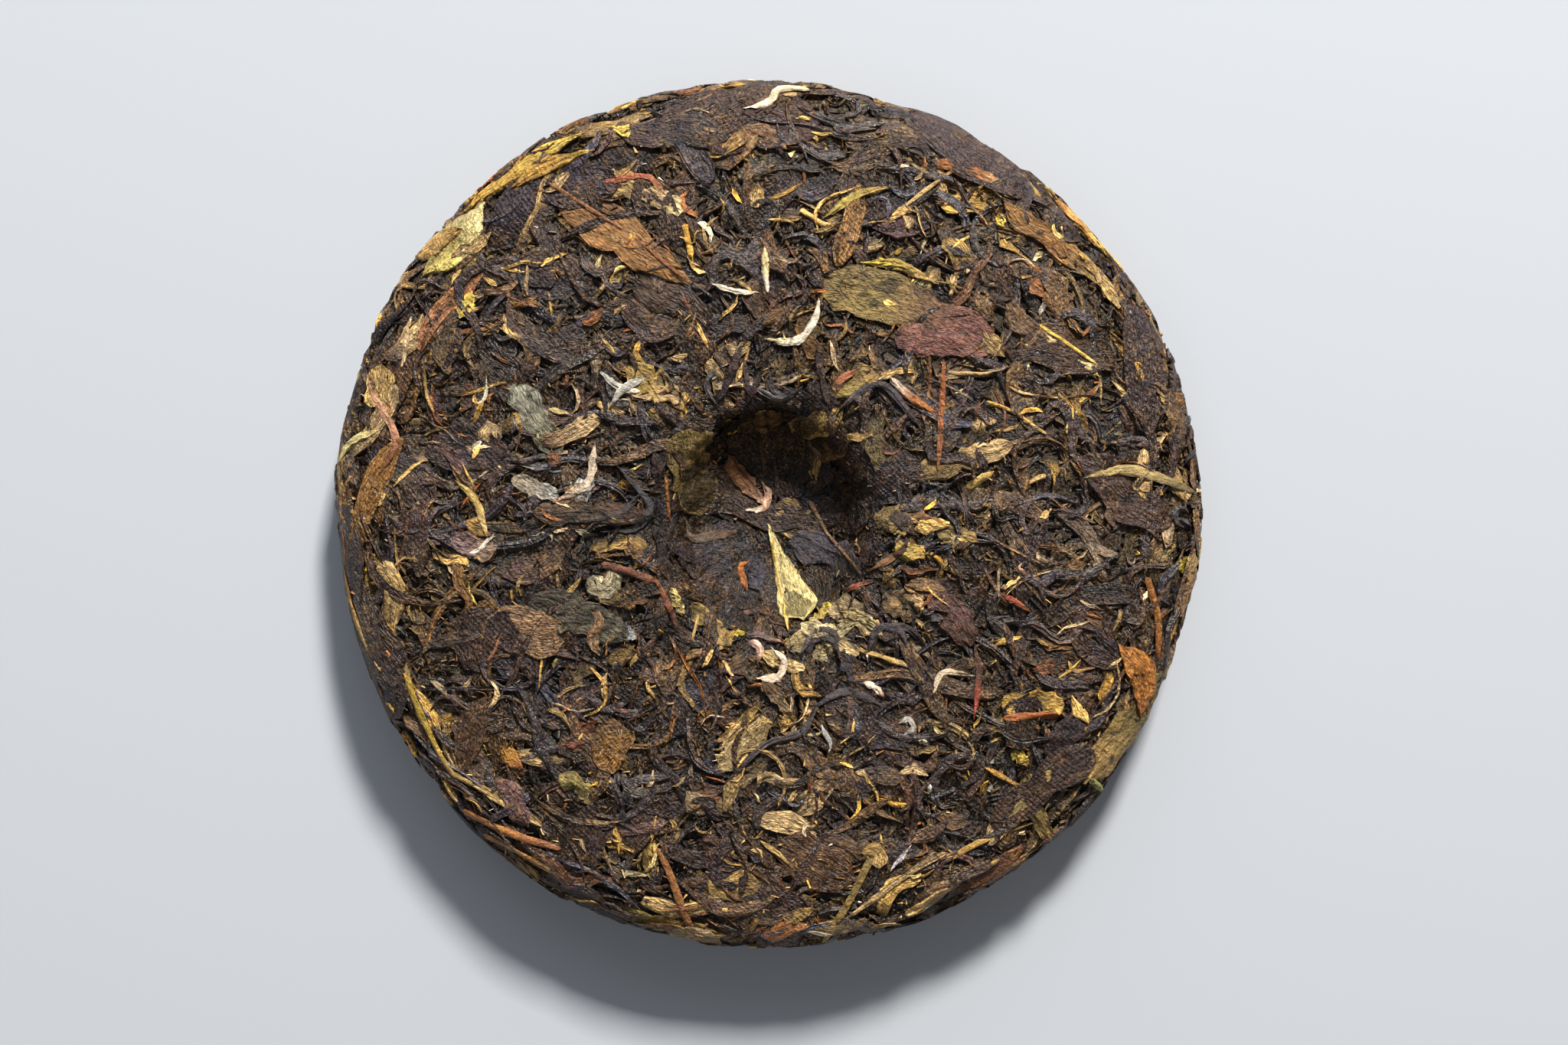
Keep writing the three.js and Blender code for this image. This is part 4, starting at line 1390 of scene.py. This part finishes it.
def leaf_finish(name, fleck, fleck_share, roughness, streak_and_highlight=0.24, weave=0.25, mottle_depth=0.26, wrinkles_and_shade=0.4,
                folds=0.6, shine=0.5, patina=0.0):
    """Dry leaf: ribs along the leaf, wrinkles, mottling, the print of the cloth, and a satin gloss."""
    material = bpy.data.materials.new(name)
    material.use_nodes = True
    net = material.node_tree
    net.nodes.clear()
    tint = node(net, "ShaderNodeAttribute", {}, attribute_name="leaf_colour").outputs["Color"]
    grain = node(net, "ShaderNodeAttribute", {}, attribute_name="along_leaf").outputs["Vector"]
    place = node(net, "ShaderNodeTexCoord", {}).outputs["Object"]
    stretch = node(net, "ShaderNodeMapping", {"Vector": grain, "Scale": (0.24, 1.5, 1.0)}).outputs[0]
    streaks = noise(net, stretch, 1.0, 5.0, 0.68, 0.4)["Fac"]
    mottling = noise(net, place, 480.0, 4.0, 0.6, 0.5)
    mottle = mottling["Fac"]
    fine = noise(net, place, 1500.0, 3.0)["Fac"]
    zone = noise(net, place, 95.0, 3.0)["Fac"]
    cloud = noise(net, place, 330.0, 4.0, 0.65)["Fac"]
    swell = noise(net, place, 190.0, 1.0, 0.5, 0.6)["Fac"]
    fold = cloth_folds(net, place)

    def borders(scale, width):
        inputs = {"Vector": bent, "Scale": scale}
        cells = node(net, "ShaderNodeTexVoronoi", inputs, feature="DISTANCE_TO_EDGE")
        return ranged(net, cells.outputs["Distance"], 0.0, width, 0.0, 1.0)

    # Wrinkles are long cells whose borders are sunk, and painted dark as shade in them. Pleats are the same
    # on a larger scale, as the leaf was folded and pressed flat.
    bent = shaken(net, stretch, mottling["Color"], 0.55)
    ridge = borders(1.5, 0.22)
    pleat = borders(0.5, 0.3)
    # Painted light and shade: the ribs lighter and darker, partly their own streaks and partly painted
    # highlight, the leaf's own mottling and fine grain, and painted shade in the borders of wrinkles and
    # pleats.
    shade = times(net, ranged(net, streaks, 0.3, 0.7, 1 - streak_and_highlight, 1 + streak_and_highlight),
                  ranged(net, mottle, 0.34, 0.66, 1 - mottle_depth, 1 + mottle_depth))
    crease_shade = times(net, ranged(net, ridge, 0.0, 1.0, 1 - wrinkles_and_shade, 1 + 0.35 * wrinkles_and_shade),
                  ranged(net, pleat, 0.0, 0.5, 1 - 0.4 * wrinkles_and_shade, 1 + 0.1 * wrinkles_and_shade))
    grainy = times(net, times(net, shade, crease_shade), ranged(net, fine, 0.36, 0.64, 0.8, 1.2))
    # The fold lines of the bag are painted darker, as painted shade in their grooves.
    light = times(net, grainy, ranged(net, fold, 0.0, 1.0, 1 - folds, 1.0))
    # Clouds of golden brown on dark leaf, and flecks that are thick in some places and few in others.
    aged = mixed(net, ranged(net, cloud, 0.5, 0.66, 0.0, patina), tint, AGED)
    specks = ranged(net, fine, 0.48, 0.6, 0.0, 1.0)
    thick = ranged(net, zone, 0.45, 0.62, 0.12 * fleck_share, fleck_share)
    flecked = mixed(net, times(net, specks, thick), aged, (*fleck, 1))
    lit = node(net, "ShaderNodeVectorMath", {0: flecked, "Scale": light}, operation="SCALE").outputs[0]
    # Relief: folds, swellings, long ribs, pleats, wrinkles, crumples, the print of the cloth, and grit.
    wave = {"Vector": place, "Scale": 449.0, "Distortion": 2.5, "Detail": 1.0}
    cloth = node(net, "ShaderNodeTexWave", wave, bands_direction="DIAGONAL").outputs["Fac"]
    inputs = {}
    for source, depth, strength in (
        (fold, 0.0003, folds), (swell, 0.0011, 1.0), (streaks, 0.0005, 1.0), (pleat, 0.0004, wrinkles_and_shade),
        (ridge, 0.0003, wrinkles_and_shade), (mottle, 0.001, 1.0), (cloth, 0.00016, weave), (fine, 0.00022, 1.0),
    ):
        if strength > 0:
            inputs.update({"Height": source, "Strength": strength, "Distance": depth})
            inputs["Normal"] = node(net, "ShaderNodeBump", inputs).outputs[0]
    skin = node(net, "ShaderNodeBsdfPrincipled", {
        "Base Color": lit,
        "Roughness": ranged(net, mottle, 0.35, 0.65, *roughness),
        "Specular IOR Level": shine,
        "Normal": inputs["Normal"],
    })
    node(net, "ShaderNodeOutputMaterial", {0: skin.outputs[0]})
    return material


# %% A finish for each kind of leaf
# Name, pieces, colour and share of the flecks, range of roughness, and what differs from ordinary leaf.
FINISHES = [
    ("dark dry leaf", "flat_leaves_dark torn_leaves_dark rolled_leaves_dark", (190, 140, 72), 0.3,
     (0.22, 0.48), dict(weave=0.5, wrinkles_and_shade=0.7, shine=0.6, patina=0.32)),
    ("brown dry leaf", "rolled_leaves_brown folded_leaves", (214, 164, 84), 0.45,
     (0.27, 0.55), dict(weave=0.25, wrinkles_and_shade=0.6, shine=0.7, patina=0.5)),
    ("tan dry leaf", "flat_leaves_tan torn_leaves_tan ragged_patches", (104, 76, 42), 0.55,
     (0.42, 0.68), dict(weave=0.3, wrinkles_and_shade=0.6)),
    ("broad dry leaf", "broad_leaves", (120, 88, 50), 0.4,
     (0.4, 0.66), dict(streak_and_highlight=0.2, weave=0.3, mottle_depth=0.34, wrinkles_and_shade=0.5)),
    ("pale dry leaf", "pale_leaves", (150, 120, 66), 0.15,
     (0.4, 0.62), dict(streak_and_highlight=0.15, weave=0.3, mottle_depth=0.3, wrinkles_and_shade=0.5, folds=0.5)),
    ("twisted dry leaf", "twisted_strands", (170, 150, 124), 0.25,
     (0.2, 0.42), dict(weave=0.2, wrinkles_and_shade=0.5, shine=0.9, patina=0.2)),
    ("stem bark", "stems", (214, 166, 100), 0.3,
     (0.4, 0.6), dict(weave=0.0, mottle_depth=0.3, wrinkles_and_shade=0.2)),
    ("downy bud", "buds long_strands", (150, 116, 84), 0.35,
     (0.55, 0.8), dict(weave=0.0, mottle_depth=0.25, wrinkles_and_shade=0.2)),
    ("tea crumbs", "crumbs grit", (190, 150, 90), 0.4, (0.5, 0.75), dict(weave=0.0, wrinkles_and_shade=0.0)),
]
finishes = {}
for title, pieces, fleck, fleck_share, roughness, rest in FINISHES:
    finish = leaf_finish(title, linear(*fleck), fleck_share, roughness, **rest)
    finishes.update(dict.fromkeys(pieces.split(), finish))
print(f"{len(FINISHES)} finishes for {len(finishes)} kinds of leaf")

# %% The pieces, one for each kind of leaf
triangles = 0
for name, group in back_batches.items():
    triangles += mesh_piece(name, group + face_batches.get(name, []), finishes[name])
print(f"{triangles} triangles in all the leaves")

# %% [markdown]
# ## The core
#
# Through the gaps one looks down on packed crumbs. The core is the disc itself, smoothed, set back by 2.4 mm
# and crumpled, so only the dark ground of the gaps shows. It also keeps the cake solid to look at from every
# side.

# %% The core
CORE_SETBACK = 2.4  # mm
CORE_LUMPS = 0.8  # mm from the lowest to the highest of its crumples
select_only(core)
lumps = bpy.data.textures.new("lumps", "CLOUDS")
lumps.noise_scale = 3 * MM
for kind, settings in (
    ("SUBSURF", dict(levels=2, render_levels=2)),
    ("DISPLACE", dict(strength=-CORE_SETBACK * MM, mid_level=0.0)),
    ("DISPLACE", dict(strength=CORE_LUMPS * MM, texture=lumps)),
):
    change = core.modifiers.new(kind, kind)
    for key, value in settings.items():
        setattr(change, key, value)
    bpy.ops.object.modifier_apply(modifier=change.name)
packed = leaf_finish("packed crumbs", linear(110, 84, 54), 0.5, (0.6, 0.8), weave=0.0, wrinkles_and_shade=0.0)
core.data.materials.append(packed)
tint = core.data.color_attributes.new("leaf_colour", "FLOAT_COLOR", "POINT")
ground = np.tile([*linear(40, 32, 26), 1], len(core.data.vertices))
tint.data.foreach_set("color", ground.astype(np.float32))
bpy.ops.object.shade_smooth()
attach(core, "root")
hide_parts("tea_cake")
print(f"core: {sum(len(p.vertices) - 2 for p in core.data.polygons)} triangles")

# %% [markdown]
# ## Floor, light and camera
#
# The cake lies on a plain pale floor in daylight. A small lamp on its +Y side, 35 degrees up, draws the crisp
# shadows between the leaves, as the sun through a window does. A broad cool one beside it is the sky, and a
# weak one opposite and the light of the room keep the shadows open. The camera looks straight down.

# %% Floor, light and camera
FLOOR_SIZE = 16.0  # m
FLOOR_LEVEL = -0.0002  # m, just under the foot, so that the two don't flicker
LAMP_DISTANCE = 2.6  # m from the middle of the cake
LENS = 50  # mm
SENSOR = 36  # mm
VIEW_WIDTH = 0.352  # m that the camera sees across, at the height of the cake's back
VIEW_MIDDLE = (0.0036, -0.0018)  # m

bpy.ops.object.select_all(action="DESELECT")
bpy.ops.mesh.primitive_plane_add(size=FLOOR_SIZE, location=(0, 0, FLOOR_LEVEL))
floor = bpy.context.object
floor.name = "floor"
pale_floor = bpy.data.materials.new("pale floor")
pale_floor.use_nodes = True
floor_skin = pale_floor.node_tree.nodes["Principled BSDF"]
floor_skin.inputs["Base Color"].default_value = (0.55, 0.58, 0.62, 1)
floor_skin.inputs["Roughness"].default_value = 0.9
floor.data.materials.append(pale_floor)


def square_lamp(name, turn, rise, size, power, colour):
    """A square lamp at a turn from +X and a rise from the floor, both in degrees, that faces the cake."""
    lamp = bpy.data.lights.new(name, "AREA")
    lamp.size = size
    lamp.energy = power
    lamp.color = colour
    made = bpy.data.objects.new(name, lamp)
    bpy.context.scene.collection.objects.link(made)
    turn, rise = math.radians(turn), math.radians(rise)
    level = LAMP_DISTANCE * math.cos(rise)
    made.location = (level * math.cos(turn), level * math.sin(turn), LAMP_DISTANCE * math.sin(rise))
    made.rotation_euler = (-made.location).to_track_quat("-Z", "Y").to_euler()


square_lamp("window", 74, 35, 0.4, 122.0, (1.0, 0.965, 0.92))
square_lamp("sky", 100, 28, 2.2, 16.0, (0.78, 0.88, 1.0))
square_lamp("fill", 235, 60, 1.2, 4.0, (0.9, 0.95, 1.0))
world = bpy.data.worlds.new("room")
bpy.context.scene.world = world
world.use_nodes = True
room = world.node_tree.nodes["Background"]
room.inputs["Color"].default_value = (0.96, 0.96, 1.0, 1)
room.inputs["Strength"].default_value = 0.13

camera = bpy.data.cameras.new("camera")
camera.lens = LENS
camera.sensor_width = SENSOR
eye = bpy.data.objects.new("camera", camera)
bpy.context.scene.collection.objects.link(eye)
eye.location = (*VIEW_MIDDLE, crown_height * MM + VIEW_WIDTH * LENS / SENSOR)
bpy.context.scene.camera = eye
bpy.context.scene.view_settings.view_transform = "Standard"
print(f"the camera is {eye.location.z:.2f} m above the floor")

# %% [markdown]
# ## Sizes
#
# The disc's box is printed. The leaves are kept inside it where their meshes are made.

# %% Sizes for the record, and the end
print("disc:", [[round(v / MM, 1) for v in c] for c in cad_box])
